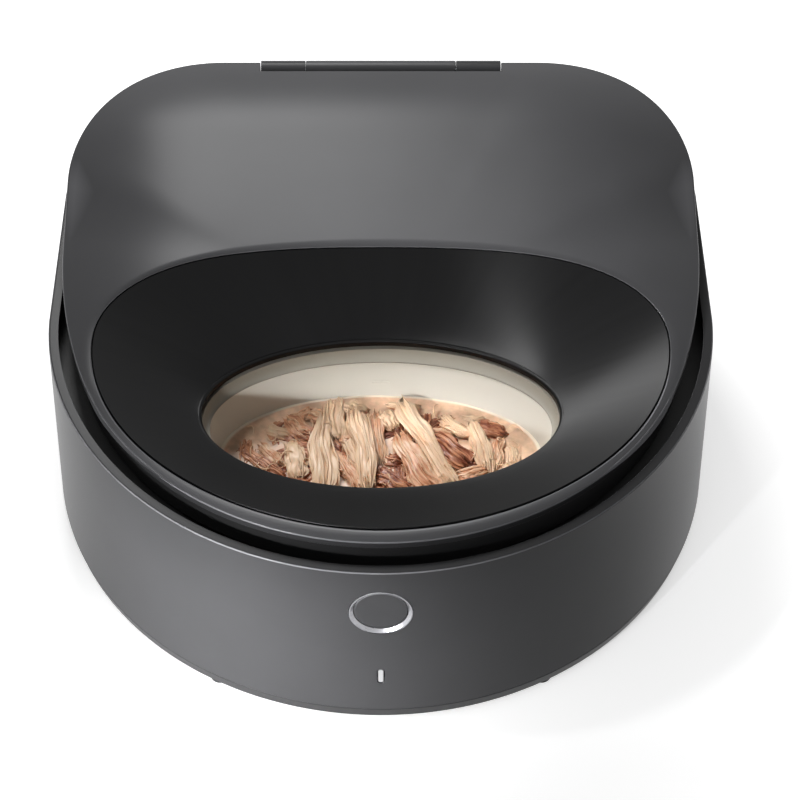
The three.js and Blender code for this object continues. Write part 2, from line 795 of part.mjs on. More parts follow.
function basePlate() {
  const profile = [
    [plateTaper + plateChamfer, plateBottomZ],
    [plateTaper, plateBottomZ + plateChamfer],
    [0, partingZ],
  ];
  const outside = loft(profile.map(([inset, z]) => level(bodyOutline(inset), z)), true);
  const inside = prism(bodyOutline(plateTaper + plateWall), plateFloorZ, partingZ + cutOverrun);
  const dished = outside.subtract(inside);
  const bosses = postPlaces().map(([x, y]) => rodZ(postRadius, x, y,
    plateBottomZ + screwRecess, partingZ));
  const standoffs = boardPlaces().map(([x, y]) => rodZ(standoffRadius, x, y,
    plateBottomZ + plateFloor / 2, plateFloorZ + standoffHeight - seatGap));
  const pivot = rodZ(hubShaftRadius + socketWall, 0, hubY, plateBottomZ + plateFloor / 2,
    hubFootZ - seatGap);
  const heads = postPlaces().map(([x, y]) => rodZ(screwHeadRadius + seatGap, x, y,
    plateBottomZ - cutOverrun, screwBottomZ + screwHeadHeight + seatGap));
  const shafts = postPlaces().map(([x, y]) => rodZ(postHoleRadius, x, y,
    plateBottomZ, partingZ + cutOverrun));
  const recesses = footPlaces().map(([x, y]) => rodZ(footRadius + seatGap, x, y,
    plateBottomZ - cutOverrun, footHeight + seatGap));
  return cut(joined([dished, ...bosses, ...standoffs, pivot]),
    [...heads, ...shafts, ...recesses, ...grilleSlots()]);
}

// Air slots in the base plate, as long as the fan's duct lets them be.
function grilleSlots() {
  const pitch = (2 * fanDuctRadius) / (grilleSlotCount + 1);
  return Array.from({ length: grilleSlotCount }, (_, i) => {
    const x = (i - (grilleSlotCount - 1) / 2) * pitch;
    const half = Math.sqrt(fanDuctRadius ** 2 - x ** 2);
    return block(x - grilleSlotWidth / 2, x + grilleSlotWidth / 2, coolerY - half, coolerY + half,
      plateBottomZ - cutOverrun, plateFloorZ + cutOverrun);
  });
}

const foot = ([x, y]) => turned([[0, 0], [footRadius - footChamfer, 0], [footRadius, footChamfer],
  [footRadius, footHeight], [0, footHeight]], x, y);

function screw([x, y]) {
  const neck = screwBottomZ + screwHeadHeight;
  const driveRadius = screwShaftRadius;
  const body = turned([[0, screwBottomZ], [screwHeadRadius, screwBottomZ], [screwHeadRadius, neck],
    [screwShaftRadius, neck], [screwShaftRadius, screwTopZ], [0, screwTopZ]], x, y);
  const drive = block(x - driveRadius, x + driveRadius, y - screwRecess, y + screwRecess,
    screwBottomZ - cutOverrun, screwBottomZ + screwHeadHeight / 2);
  const crossDrive = block(x - screwRecess, x + screwRecess, y - driveRadius, y + driveRadius,
    screwBottomZ - cutOverrun, screwBottomZ + screwHeadHeight / 2);
  return cut(body, [drive, crossDrive]);
}

const bearingRadius = hubShaftRadius + seatGap + bearingWall;

function innerLiner() {
  const flange = prism(bodyOutline(shellWall + seatGap), linerTopZ - linerWall, linerTopZ);
  const well = rodZ(wellRadius + linerWall, 0, hubY, linerUnderZ, linerTopZ, wellSteps);
  const hollow = rodZ(wellRadius, 0, hubY, linerFloorZ, linerTopZ + cutOverrun, wellSteps);
  const hubHole = rodZ(bearingRadius + seatGap, 0, hubY, linerUnderZ - cutOverrun,
    linerFloorZ + cutOverrun, 2 * rodSteps);
  const buttonNotch = block(-ringRadius - seatGap, ringRadius + seatGap, -bodyRadius,
    buttonBackY + buttonTravel + runGap, linerTopZ - linerWall - cutOverrun,
    linerTopZ + cutOverrun);
  return cut(flange.add(well), [hollow, hubHole, buttonNotch]);
}

function insulationRing() {
  const inner = wellRadius + linerWall + seatGap;
  const bottom = linerUnderZ + insulationGap;
  const top = linerTopZ - linerWall - seatGap;
  return turned([[inner, bottom], [inner + insulationThickness, bottom],
    [inner + insulationThickness, top], [inner, top]], 0, hubY, wellSteps);
}

const coldPlateTopZ = linerUnderZ - seatGap;
const moduleTopZ = coldPlateTopZ - coldPlateThickness - seatGap;
const sinkTopZ = moduleTopZ - moduleThickness - seatGap;
const fanBottomZ = plateFloorZ + seatGap;
const fanTopZ = fanBottomZ + fanDepth;
const finBottomZ = fanTopZ + seatGap;

function centredBlock(width, depth, z0, z1) {
  return block(-width / 2, width / 2, coolerY - depth / 2, coolerY + depth / 2, z0, z1);
}

const coldPlate = () => centredBlock(coldPlateWidth, coldPlateDepth,
  coldPlateTopZ - coldPlateThickness, coldPlateTopZ);

const thermoelectricModule = () => centredBlock(moduleSide, moduleSide,
  moduleTopZ - moduleThickness, moduleTopZ);

function heatSink() {
  const base = centredBlock(sinkWidth, sinkDepth, sinkTopZ - sinkBaseThickness, sinkTopZ);
  const pitch = (sinkWidth - finThickness) / (finCount - 1);
  const fins = Array.from({ length: finCount }, (_, i) => {
    const x = -sinkWidth / 2 + i * pitch;
    return block(x, x + finThickness, coolerY - sinkDepth / 2, coolerY + sinkDepth / 2,
      finBottomZ, sinkTopZ - sinkBaseThickness / 2);
  });
  return joined([base, ...fins]);
}

function fanFrame() {
  const frame = centredBlock(fanSide, fanSide, fanBottomZ, fanTopZ);
  const duct = rodZ(fanDuctRadius, 0, coolerY, fanBottomZ - cutOverrun, fanTopZ + cutOverrun,
    2 * rodSteps);
  const seat = rodZ(fanHubRadius, 0, coolerY, fanBottomZ, fanBottomZ + fanSpokeHeight);
  const post = rodZ(fanPostRadius, 0, coolerY, fanBottomZ,
    fanBottomZ + fanSpokeHeight + fanPostHeight);
  const spokeBars = Array.from({ length: fanSpokeCount }, (_, i) => {
    const bar = new THREE.BoxGeometry(fanDuctRadius + fanSpokeWidth / 2, fanSpokeWidth,
      fanSpokeHeight);
    bar.translate((fanDuctRadius + fanSpokeWidth / 2) / 2, 0, fanBottomZ + fanSpokeHeight / 2);
    bar.rotateZ((2 * Math.PI * i) / fanSpokeCount);
    bar.translate(0, coolerY, 0);
    return solid(bar);
  });
  return joined([frame.subtract(duct), seat, post, ...spokeBars]);
}

const rotorBottomZ = fanBottomZ + fanSpokeHeight + seatGap;
const rotorTopZ = fanTopZ - seatGap;
const bladeReach = fanDuctRadius - runGap;

function fanRotor() {
  const hub = rodZ(fanHubRadius, 0, coolerY, rotorBottomZ, rotorTopZ);
  const bladeStart = fanHubRadius / 2;
  const blades = Array.from({ length: fanBladeCount }, (_, i) => {
    const blade = new THREE.BoxGeometry(bladeReach - bladeStart, fanBladeChord, fanBladeThickness);
    blade.rotateX(fanBladePitch);
    blade.translate((bladeReach + bladeStart) / 2, 0, (rotorBottomZ + rotorTopZ) / 2);
    blade.rotateZ((2 * Math.PI * i) / fanBladeCount);
    blade.translate(0, coolerY, 0);
    return solid(blade);
  });
  const sweep = rodZ(bladeReach, 0, coolerY, rotorBottomZ, rotorTopZ, 2 * rodSteps);
  const bore = rodZ(fanPostRadius + seatGap, 0, coolerY, rotorBottomZ - cutOverrun,
    fanBottomZ + fanSpokeHeight + fanPostHeight + seatGap);
  return joined([hub, ...blades]).intersect(sweep).subtract(bore);
}

function trayMotor() {
  const bossTop = gearBottomZ - seatGap;
  const body = rodZ(motorRadius, motorX, motorY, fanBottomZ, bossTop - motorBossHeight,
    2 * rodSteps);
  const boss = rodZ(motorBossRadius, motorX, motorY, fanBottomZ, bossTop);
  const bore = rodZ(pinionStubRadius + seatGap, motorX, motorY,
    gearBottomZ - pinionStubLength - seatGap, gearBottomZ + cutOverrun);
  return cut(body.add(boss), [bore]);
}

function motorPinion() {
  const outline = gearOutline(motorPinionTeeth, gearModule, gearBacklash,
    motorDirection + Math.PI + Math.PI / motorPinionTeeth, motorX, motorY);
  const stub = rodZ(pinionStubRadius, motorX, motorY, gearBottomZ - pinionStubLength,
    gearBottomZ + gearThickness / 2);
  return plate(outline, gearBottomZ, gearBottomZ + gearThickness).add(stub);
}

function hubBearing() {
  const bottom = linerUnderZ - seatGap - bearingFlangeThickness;
  const flangeTop = linerUnderZ - seatGap;
  const inner = hubShaftRadius + seatGap;
  return turned([[inner, bottom], [bearingRadius + bearingFlange, bottom],
    [bearingRadius + bearingFlange, flangeTop], [bearingRadius, flangeTop],
    [bearingRadius, linerFloorZ], [inner, linerFloorZ]], 0, hubY, 2 * rodSteps);
}

function mainBoard() {
  const bottom = plateFloorZ + standoffHeight;
  const top = bottom + boardThickness;
  const sheet = block(mainBoardX - mainBoardWidth / 2, mainBoardX + mainBoardWidth / 2,
    mainBoardY - mainBoardDepth / 2, mainBoardY + mainBoardDepth / 2, bottom, top);
  const chip = block(mainBoardX - chipSide / 2, mainBoardX + chipSide / 2,
    mainBoardY - chipSide / 2, mainBoardY + chipSide / 2, bottom, top + chipHeight);
  const cans = [-1, 1].map((side) => rodZ(canRadius, mainBoardX + side * (chipSide + canRadius),
    mainBoardY, bottom, top + canHeight));
  return joined([sheet, chip, ...cans]);
}

function buttonBoard() {
  const sheet = block(-buttonBoardHalfWidth, buttonBoardHalfWidth, boardFrontY,
    boardFrontY + boardThickness, buttonBoardBottomZ, buttonBoardTopZ);
  const touch = block(-switchHalfWidth, switchHalfWidth, boardFrontY - switchHeight,
    boardFrontY + boardThickness / 2, buttonZ - switchHalfWidth, buttonZ + switchHalfWidth);
  return sheet.add(touch);
}

const buttonRing = () => turnedY([[ringRadius - ringWidth, ringFrontY], [ringRadius, ringFrontY],
  [ringRadius, ringFrontY + ringDepth], [ringRadius - ringWidth, ringFrontY + ringDepth]],
0, buttonZ, wellSteps / 2);

function feedButton() {
  const face = -bodyRadius + buttonRecess;
  const radius = ringRadius - ringWidth - seatGap;
  const flangeFront = buttonBackY - buttonFlangeThickness;
  const flangeBack = buttonBackY;
  const tip = boardFrontY - switchHeight - buttonTravel - runGap;
  return turnedY([[0, face], [radius, face], [radius, flangeFront],
    [radius + buttonFlange, flangeFront], [radius + buttonFlange, flangeBack],
    [plungerRadius, flangeBack], [plungerRadius, tip], [0, tip]], 0, buttonZ, wellSteps / 2);
}

const lightPipe = () => stadiumY(lightHalfWidth, lightHalfHeight, lightZ, ringFrontY,
  boardFrontY - seatGap);

function dcJack() {
  const inside = bodyBack - shellWall - seatGap;
  const body = block(jackX - jackBodyWidth / 2, jackX + jackBodyWidth / 2,
    inside - jackBodyLength, inside, jackZ - jackBodyHeight / 2, jackZ + jackBodyHeight / 2);
  const collar = rodY(jackRadius, jackX, inside - jackBodyLength / 2, bodyBack - ringRecess, jackZ);
  const bore = rodY(jackBoreRadius, jackX, bodyBack - jackBoreDepth, bodyBack + cutOverrun, jackZ);
  const pin = rodY(jackPinRadius, jackX, bodyBack - jackBoreDepth - jackPinRadius,
    bodyBack - jackBoreDepth + jackPinLength, jackZ);
  return body.add(collar).subtract(bore).add(pin);
}

const hingePin = () => rodX(hingePinRadius, -lugOuter + seatGap, lugOuter - seatGap, hingeY, hingeZ);

const baseMagnet = () => rodZ(magnetRadius, 0, magnetY, linerTopZ - linerWall - seatGap
  - magnetThickness, linerTopZ - linerWall - seatGap);

// Tray

const bowlTurns = Array.from({ length: bowlCount }, (_, i) => (2 * Math.PI * i) / bowlCount);

function bowlStack(turn, extra, low, high) {
  const steps = [
    [bowlToeInset, trayBottomZ + bowlFloor],
    [bowlKneeInset, bowlKneeZ],
    [bowlDraftInset, bowlDraftZ],
    [0, high],
  ];
  return loft(steps.map(([inset, z]) => level(bowlOutline(inset - extra, turn),
    z === high ? z : z - low)), true);
}

function foodTray() {
  const deckUnder = trayTopZ - trayDeck;
  const deck = rodZ(trayRadius, 0, hubY, deckUnder, trayTopZ, wellSteps);
  const skirt = turned([[trayRadius - trayWall, trayTopZ - traySkirt],
    [trayRadius, trayTopZ - traySkirt], [trayRadius, trayTopZ - trayDeck / 2],
    [trayRadius - trayWall, trayTopZ - trayDeck / 2]], 0, hubY, wellSteps);
  const socket = rodZ(hubAcrossRadius + socketWall, 0, hubY, trayBottomZ, trayTopZ - trayDeck / 2);
  const hubHole = rodZ(hubAcrossRadius + seatGap, 0, hubY, trayBottomZ - cutOverrun,
    hubTopZ + seatGap, hubSides);
  const core = rodZ(hubAcrossRadius - socketWall, 0, hubY, hubTopZ - cutOverrun,
    trayTopZ - 2 * trayDeck);
  const shells = bowlTurns.map((turn) => bowlStack(turn, trayWall, bowlFloor,
    trayTopZ - trayDeck / 2));
  const hollows = bowlTurns.map((turn) => {
    const stack = bowlStack(turn, 0, 0, trayTopZ);
    const mouth = prism(bowlOutline(0, turn), trayTopZ, trayTopZ + cutOverrun);
    return stack.add(mouth);
  });
  return cut(joined([deck, skirt, socket, ...shells]), [...hollows, hubHole, core]);
}

// One portion of food in the front bowl, with an uneven crown.
function wetFood() {
  const wall = (inset, z) => level(bowlOutline(inset + seatGap, 0), z);
  const crown = foodCrownShares.map((share) => wall(bowlDraftInset + seatGap, foodLevelZ)
    .map(([x, y, z], i) => {
      const angle = (2 * Math.PI * i) / bowlSteps;
      const lift = foodCrown * (1 - share) + foodRipple * Math.sin(foodLobes * angle
        + foodTwist * share);
      return [x * share, windowY + (y - windowY) * share, z + lift * (1 - share ** 3)];
    }));
  return loft([
    wall(bowlToeInset, trayBottomZ + bowlFloor + seatGap),
    wall(bowlKneeInset, bowlKneeZ),
    wall(bowlDraftInset + seatGap, foodLevelZ),
    ...crown,
  ], true);
}

function driveHub() {
  const top = rodZ(hubAcrossRadius, 0, hubY, linerFloorZ + seatGap, hubTopZ, hubSides);
  const shaft = rodZ(hubShaftRadius, 0, hubY, hubFootZ, hubTopZ - socketWall);
  return top.add(shaft);
}

function trayGear() {
  const outline = gearOutline(gearTeeth, gearModule, gearBacklash, motorDirection, 0, hubY);
  const bore = rodZ(hubShaftRadius + seatGap, 0, hubY, gearBottomZ - cutOverrun,
    gearBottomZ + gearThickness + cutOverrun);
  return plate(outline, gearBottomZ, gearBottomZ + gearThickness).subtract(bore);
}

// Lid

const lidTopShares = [0, 0.25, 0.5, 0.75, 1];
const lidUnderShares = [0, 0.5, 1];
const aboveLidZ = hingeZ + 2 * knuckleRadius;

// The lid's rings from its lower outer edge up and in to the edge of the dish.
function lidOuterRings() {
  const top = lidTopShares.map((share) => lidTopRing(share, 0, lidBevel, 0)).reverse();
  const side = lidOutline(0).map(([x, y]) => [x, y, edgeHeight(y) - lidBevel]);
  return [level(lidOutline(0), lidBottomZ), side, ...top];
}

function lidShell() {
  const outer = lidOuterRings();
  const under = lidUnderShares.map((share) => lidTopRing(share, 0, lidSideWall, lidTopWall));
  const skin = loft([...outer, ...under, level(lidOutline(lidSideWall), lidBottomZ)], false);
  const whole = loft(outer, true);
  const wallBlock = block(-notchHalf - notchWall, notchHalf + notchWall, notchY - notchWall,
    lidBack + cutOverrun, lidBottomZ, aboveLidZ);
  const notch = block(-notchHalf, notchHalf, notchY, lidBack + cutOverrun,
    lidBottomZ - cutOverrun, aboveLidZ);
  const knuckle = rodX(knuckleRadius, -centreKnuckleHalf, centreKnuckleHalf, hingeY, hingeZ,
    knuckleSteps);
  const arm = block(-centreKnuckleHalf, centreKnuckleHalf, notchY - notchWall / 2, hingeY,
    hingeZ - knuckleRadius, hingeZ);
  const bore = rodX(hingePinRadius + seatGap, -lugOuter, lugOuter, hingeY, hingeZ);
  return joined([skin, wallBlock.intersect(whole)]).subtract(notch)
    .add(knuckle.add(arm)).subtract(bore);
}

const dishShares = [0, 0.3, 0.65, 1];

// The height of the dish between its outer edge, share 0, and the window's edge, share 1.
function dishRing(share, lower) {
  const outer = dishOutline(-dishEdgeGap);
  const inner = windowOutline(0);
  return outer.map((from, i) => {
    const to = inner[i];
    const fromZ = dishEdgeHeight(from) - dishDrop;
    const rise = (1 - share) ** dishCurveShare;
    return [
      from[0] + (to[0] - from[0]) * share,
      from[1] + (to[1] - from[1]) * share,
      windowEdgeZ + (fromZ - windowEdgeZ) * rise - lower,
    ];
  });
}

// A ring of the dish's flange, which follows the lid's underside outwards from its opening.
function flangeRing(reach, lower) {
  const [from, to] = lidUnderShares.map((share) => lidTopRing(share, 0, lidSideWall, lidTopWall));
  return from.map((start, i) => {
    const span = Math.hypot(to[i][0] - start[0], to[i][1] - start[1]);
    const point = start.map((value, k) => value + ((to[i][k] - value) * reach) / span);
    return [point[0], point[1], point[2] - seatGap - lower];
  });
}

function dish() {
  return loft([
    ...dishShares.map((share) => dishRing(share, 0)),
    level(windowOutline(0), dishLipBottomZ),
    level(windowOutline(dishLip), dishLipBottomZ),
    windowOutline(dishLip).map(([x, y]) => [x, y, windowEdgeZ - dishLip / 2]),
    ...dishShares.slice(1, -1).reverse().map((share) => dishRing(share, dishWall)),
    flangeRing(-dishEdgeGap - dishWall, dishFlangeThickness),
    flangeRing(dishFlange, dishFlangeThickness),
    flangeRing(dishFlange, 0),
    flangeRing(-dishEdgeGap, 0),
  ], false);
}

const panOutline = (inset) => lidOutline(panInset + inset);

function lidPan() {
  const outside = prism(panOutline(0), panBottomZ, panTopZ);
  const inside = prism(panOutline(panWall), panFloorZ, panTopZ + cutOverrun);
  const keep = block(-notchHalf - notchWall, notchHalf + notchWall, notchY - notchWall,
    lidBack + cutOverrun, panBottomZ, panTopZ + cutOverrun);
  const notch = block(-notchHalf, notchHalf, notchY, lidBack + cutOverrun,
    panBottomZ - cutOverrun, panTopZ + cutOverrun);
  const above = block(-notchHalf - notchWall - cutOverrun, notchHalf + notchWall + cutOverrun,
    notchY - notchWall - seatGap, lidBack + cutOverrun, lidBottomZ - seatGap,
    panTopZ + cutOverrun);
  const hole = prism(windowOutline(sealWall + seatGap), panBottomZ - cutOverrun,
    panFloorZ + cutOverrun);
  return cut(outside.subtract(inside.subtract(keep)), [notch, above, hole]);
}

function windowSeal() {
  return loft([
    level(windowOutline(0), panFloorZ),
    level(windowOutline(sealWall), panFloorZ),
    level(windowOutline(sealWall), sealBottomZ),
    level(windowOutline(-sealTaper), sealBottomZ),
  ], false);
}

const lidGasket = () => turned([[gasketInner, linerTopZ + seatGap],
  [gasketInner + gasketWidth, linerTopZ + seatGap], [gasketInner + gasketWidth, panBottomZ - seatGap],
  [gasketInner, panBottomZ - seatGap]], 0, hubY, wellSteps);

const lidMagnet = () => rodZ(magnetRadius, 0, magnetY, panFloorZ + seatGap,
  panFloorZ + seatGap + magnetThickness);

const shutterTopZ = shutterZ + shutterThickness;
const railBottomZ = panFloorZ + seatGap;

function leftRail() {
  const inner = -shutterHalfWidth - runGap;
  const lipBottom = shutterTopZ + seatGap;
  const wall = block(inner - railWidth, inner, railFrontY, railBackY, railBottomZ,
    lipBottom + railLipThickness);
  const lip = block(inner - railWidth, inner + railLip, railFrontY, railBackY, lipBottom,
    lipBottom + railLipThickness);
  return wall.add(lip);
}

const rackTipX = rackPitchX + rackModule * addendumShare;
const rackRootX = rackPitchX - rackModule * dedendumShare;

function rightRail() {
  const inner = rackTipX + runGap;
  const lipBottom = shutterZ + rackHeight + seatGap;
  const wall = block(inner, inner + railWidth, railFrontY, rightRailBackY, railBottomZ,
    lipBottom + railLipThickness);
  const lip = block(inner - railLip, inner + railWidth, railFrontY, rightRailBackY, lipBottom,
    lipBottom + railLipThickness);
  return wall.add(lip);
}

// The arm's outline with rack teeth on its outer side, a gap facing the pinion.
function rackOutline() {
  const pitch = Math.PI * rackModule;
  const lean = Math.tan(pressureAngle) * rackModule;
  const halfTooth = pitch / 4 - rackBacklash / 2;
  const first = Math.ceil((rackStartY - shutterPinionY) / pitch);
  const last = Math.floor((rackEndY - shutterPinionY) / pitch) - 1;
  const outline = [[rackRootX - rackArmWidth, rackStartY], [rackRootX, rackStartY]];
  for (let tooth = first; tooth < last; tooth += 1) {
    const middle = shutterPinionY + (tooth + 1 / 2) * pitch;
    const root = halfTooth + lean * dedendumShare;
    const tip = halfTooth - lean * addendumShare;
    outline.push([rackRootX, middle - root], [rackTipX, middle - tip]);
    outline.push([rackTipX, middle + tip], [rackRootX, middle + root]);
  }
  outline.push([rackRootX, rackEndY], [rackRootX - rackArmWidth, rackEndY]);
  return outline;
}

function shutter() {
  const back = shutterFrontY + shutterLength;
  const side = shutterHalfWidth;
  const outline = [
    ...arc(side - shutterHeel, back - shutterHeel, shutterHeel, 0, 90, cornerSteps / 2),
    [side - shutterHeel, back],
    ...arc(-side + shutterHeel, back - shutterHeel, shutterHeel, 90, 180, cornerSteps / 2),
    [-side, back - shutterHeel],
    ...arc(-side + shutterCorner, shutterFrontY + shutterCorner, shutterCorner, 180, 270,
      cornerSteps),
    [-side + shutterCorner, shutterFrontY],
    ...arc(side - shutterCorner, shutterFrontY + shutterCorner, shutterCorner, 270, 360,
      cornerSteps),
    [side, shutterFrontY + shutterCorner],
  ];
  const sheet = plate(outline, shutterZ, shutterTopZ);
  const rack = plate(rackOutline(), shutterZ, shutterZ + rackHeight);
  return sheet.add(rack);
}

function shutterPinion() {
  const outline = gearOutline(rackPinionTeeth, rackModule, rackBacklash, Math.PI,
    shutterPinionX, shutterPinionY);
  const top = shutterPinionZ + shutterPinionHeight;
  const shaft = rodZ(pinionStubRadius, shutterPinionX, shutterPinionY, shutterPinionZ,
    top + pinionStubLength);
  return plate(outline, shutterPinionZ, top).add(shaft);
}

function shutterMotor() {
  const bottom = shutterPinionZ + shutterPinionHeight + seatGap;
  const body = rodZ(shutterMotorRadius, shutterPinionX, shutterPinionY, bottom, shutterMotorTopZ,
    2 * rodSteps);
  const tipRadius = rackPinionRadius + rackModule * addendumShare;
  const footX = shutterPinionX + tipRadius + runGap;
  const arm = block(shutterPinionX, footX + shutterMotorFootWidth,
    shutterPinionY - shutterMotorFootDepth / 2, shutterPinionY + shutterMotorFootDepth / 2,
    bottom, bottom + shutterPinionHeight);
  const footBlock = block(footX, footX + shutterMotorFootWidth,
    shutterPinionY - shutterMotorFootDepth / 2, shutterPinionY + shutterMotorFootDepth / 2,
    panFloorZ + seatGap, bottom + shutterPinionHeight / 2);
  const bore = rodZ(pinionStubRadius + seatGap, shutterPinionX, shutterPinionY,
    bottom - cutOverrun, bottom + pinionStubLength);
  return joined([body, arm, footBlock]).subtract(bore);
}

// The assembly

const group = new THREE.Group();

function place(name, body, finish) {
  const material = new THREE.MeshStandardMaterial({ ...finishes[finish], flatShading: true });
  const mesh = new THREE.Mesh(geometryOf(body), material);
  mesh.name = name;
  group.add(mesh);
}

const cornerNames = ['front_left', 'front_right', 'back_left', 'back_right'];

place('outer_shell', outerShell(), 'body');
place('base_plate', basePlate(), 'body');
footPlaces().forEach((at, i) => place(`foot_${cornerNames[i]}`, foot(at), 'rubber'));
postPlaces().forEach((at, i) => place(`base_screw_${cornerNames[i]}`, screw(at), 'steel'));
place('inner_liner', innerLiner(), 'blackPlastic');
place('insulation_ring', insulationRing(), 'foam');
place('cold_plate', coldPlate(), 'aluminium');
place('thermoelectric_module', thermoelectricModule(), 'ceramic');
place('heat_sink', heatSink(), 'aluminium');
place('fan_frame', fanFrame(), 'blackPlastic');
place('fan_rotor', fanRotor(), 'blackPlastic');
place('tray_motor', trayMotor(), 'steel');
place('motor_pinion', motorPinion(), 'nylon');
place('hub_bearing', hubBearing(), 'nylon');
place('main_board', mainBoard(), 'board');
place('button_board', buttonBoard(), 'board');
place('button_ring', buttonRing(), 'chrome');
place('feed_button', feedButton(), 'body');
place('light_pipe', lightPipe(), 'light');
place('dc_jack', dcJack(), 'blackPlastic');
place('hinge_pin', hingePin(), 'steel');
place('base_magnet', baseMagnet(), 'steel');
place('food_tray', foodTray(), 'cream');
place('wet_food', wetFood(), 'food');
place('drive_hub', driveHub(), 'greyPlastic');
place('tray_gear', trayGear(), 'nylon');
place('lid_shell', lidShell(), 'body');
place('dish', dish(), 'blackSatin');
place('lid_pan', lidPan(), 'blackPlastic');
place('window_seal', windowSeal(), 'taupe');
place('lid_gasket', lidGasket(), 'rubber');
place('lid_magnet', lidMagnet(), 'steel');
place('left_rail', leftRail(), 'blackPlastic');
place('right_rail', rightRail(), 'blackPlastic');
place('shutter', shutter(), 'blackPlastic');
place('shutter_pinion', shutterPinion(), 'nylon');
place('shutter_motor', shutterMotor(), 'steel');

export default group;
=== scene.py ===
"""The looks of a chilled wet food feeder, built around its packed CAD frame, in metres."""

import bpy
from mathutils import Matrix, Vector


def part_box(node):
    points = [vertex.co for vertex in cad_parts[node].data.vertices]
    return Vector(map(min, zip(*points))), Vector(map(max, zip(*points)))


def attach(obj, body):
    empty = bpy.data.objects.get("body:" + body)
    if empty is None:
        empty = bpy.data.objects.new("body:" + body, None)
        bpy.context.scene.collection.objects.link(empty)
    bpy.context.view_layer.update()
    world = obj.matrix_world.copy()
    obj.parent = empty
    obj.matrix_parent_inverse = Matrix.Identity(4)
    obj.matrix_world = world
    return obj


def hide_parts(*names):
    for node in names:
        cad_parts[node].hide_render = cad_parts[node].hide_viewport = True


bl_info = {
    "name": "Wet Food Pet Feeder",
    "version": (1, 0, 0),
    "blender": (4, 5, 0),
    "location": "View3D > Sidebar > Feeder",
    "description": "Dresses the packed frame of a wet food feeder and sets its studio",
    "category": "Add Mesh",
}

import math
import random

import bmesh
import bpy
import numpy as np
from bpy.props import (FloatProperty, FloatVectorProperty, IntProperty,
                       PointerProperty)
from mathutils import Vector, noise

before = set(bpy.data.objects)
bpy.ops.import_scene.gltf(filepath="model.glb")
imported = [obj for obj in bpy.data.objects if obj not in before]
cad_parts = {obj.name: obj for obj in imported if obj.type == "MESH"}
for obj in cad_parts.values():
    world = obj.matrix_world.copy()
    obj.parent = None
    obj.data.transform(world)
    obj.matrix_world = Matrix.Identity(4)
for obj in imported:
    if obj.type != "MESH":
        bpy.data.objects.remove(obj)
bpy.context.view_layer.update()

SHARP_ANGLE, SOFT_ANGLE = math.radians(32), math.radians(70)

# Lowest and highest corners that the packed frame gives
SHELL_LOW, SHELL_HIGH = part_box("outer_shell")
PLATE_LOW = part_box("base_plate")[0]
LINER_LOW, LINER_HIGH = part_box("inner_liner")
LID_LOW, LID_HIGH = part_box("lid_shell")
PAN_LOW, PAN_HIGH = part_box("lid_pan")
SEAL_LOW, SEAL_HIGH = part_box("window_seal")
TRAY_LOW, TRAY_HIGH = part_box("food_tray")
PIN_LOW, PIN_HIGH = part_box("hinge_pin")
RING_LOW, RING_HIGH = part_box("button_ring")
BUTTON_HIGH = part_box("feed_button")[1]
LIGHT_LOW, LIGHT_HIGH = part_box("light_pipe")
JACK_LOW, JACK_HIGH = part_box("dc_jack")
GASKET_LOW, GASKET_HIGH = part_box("lid_gasket")
HUB_LOW, HUB_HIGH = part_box("drive_hub")
FAN_LOW, FAN_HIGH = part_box("fan_frame")
LEG_LOW, LEG_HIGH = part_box("foot_front_left")
BOARD_LOW, BOARD_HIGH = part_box("main_board")
SCREW_LOW, SCREW_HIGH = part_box("base_screw_front_left")

# Middles and radii that follow from them
JACK = (JACK_LOW + JACK_HIGH) / 2
BOARD = (BOARD_LOW + BOARD_HIGH) / 2
HUB_Y = (GASKET_LOW.y + GASKET_HIGH.y) / 2
WINDOW_Y = (SEAL_LOW.y + SEAL_HIGH.y) / 2
HINGE_Y = (PIN_LOW.y + PIN_HIGH.y) / 2
HINGE_Z = (PIN_LOW.z + PIN_HIGH.z) / 2
PIN_RADIUS = (PIN_HIGH.z - PIN_LOW.z) / 2
BUTTON_Z = (RING_LOW.z + RING_HIGH.z) / 2
RING_RADIUS = RING_HIGH.x
LIGHT_Z = (LIGHT_LOW.z + LIGHT_HIGH.z) / 2
LIGHT_HALF_WIDTH = LIGHT_HIGH.x
LIGHT_HALF_HEIGHT = (LIGHT_HIGH.z - LIGHT_LOW.z) / 2
LEG_X = (LEG_LOW.x + LEG_HIGH.x) / 2
LEG_Y = (LEG_LOW.y + LEG_HIGH.y) / 2

# Sizes that several pieces share, in metres
SEAT_GAP = 0.0003          # between a piece and the one that holds it
OVERRUN = 0.004            # how far a cutting shape reaches past what it cuts
PAN_INSET = 0.0031         # from the lid's outline to its floor's
SEAL_WALL = 0.0024         # thickness of the window's seal
SEAL_TAPER = 0.0032        # how far the seal's foot reaches under the window
PARTING_Z = 0.01           # top of the bottom ring
POST_RADIUS = 0.0046       # screw posts of the wall and the bosses below them
POST_INSET = 0.0064        # from the base's outline to a post's middle
PILOT_RADIUS = 0.0018      # hole for a screw's shaft
KNUCKLE_RADIUS = 0.0052    # lugs and knuckle of the hinge
LUG_INNER, LUG_OUTER = 0.037, 0.0588
KNUCKLE_END = 0.0368       # from the middle to the end of the lid's knuckle
NOTCH_HALF = 0.0592        # half the width of the lid's notch for the hinge
NOTCH_WALL = 0.0024        # thickness of the walls round that notch
NOTCH_Y = HINGE_Y - 0.006
RING_WIDTH = 0.0019        # of the bright ring round the button
RING_SLOPE = 0.00125       # depth of its slope
HUB_HOLE = 0.0093          # hole of the well round the tray's shaft
BROTH_INSET = 0.0042       # from the bowl's lip outline to the broth's edge

# Points along the outlines of the base and the lid
CORNER_POINTS, FRONT_POINTS = 28, 112


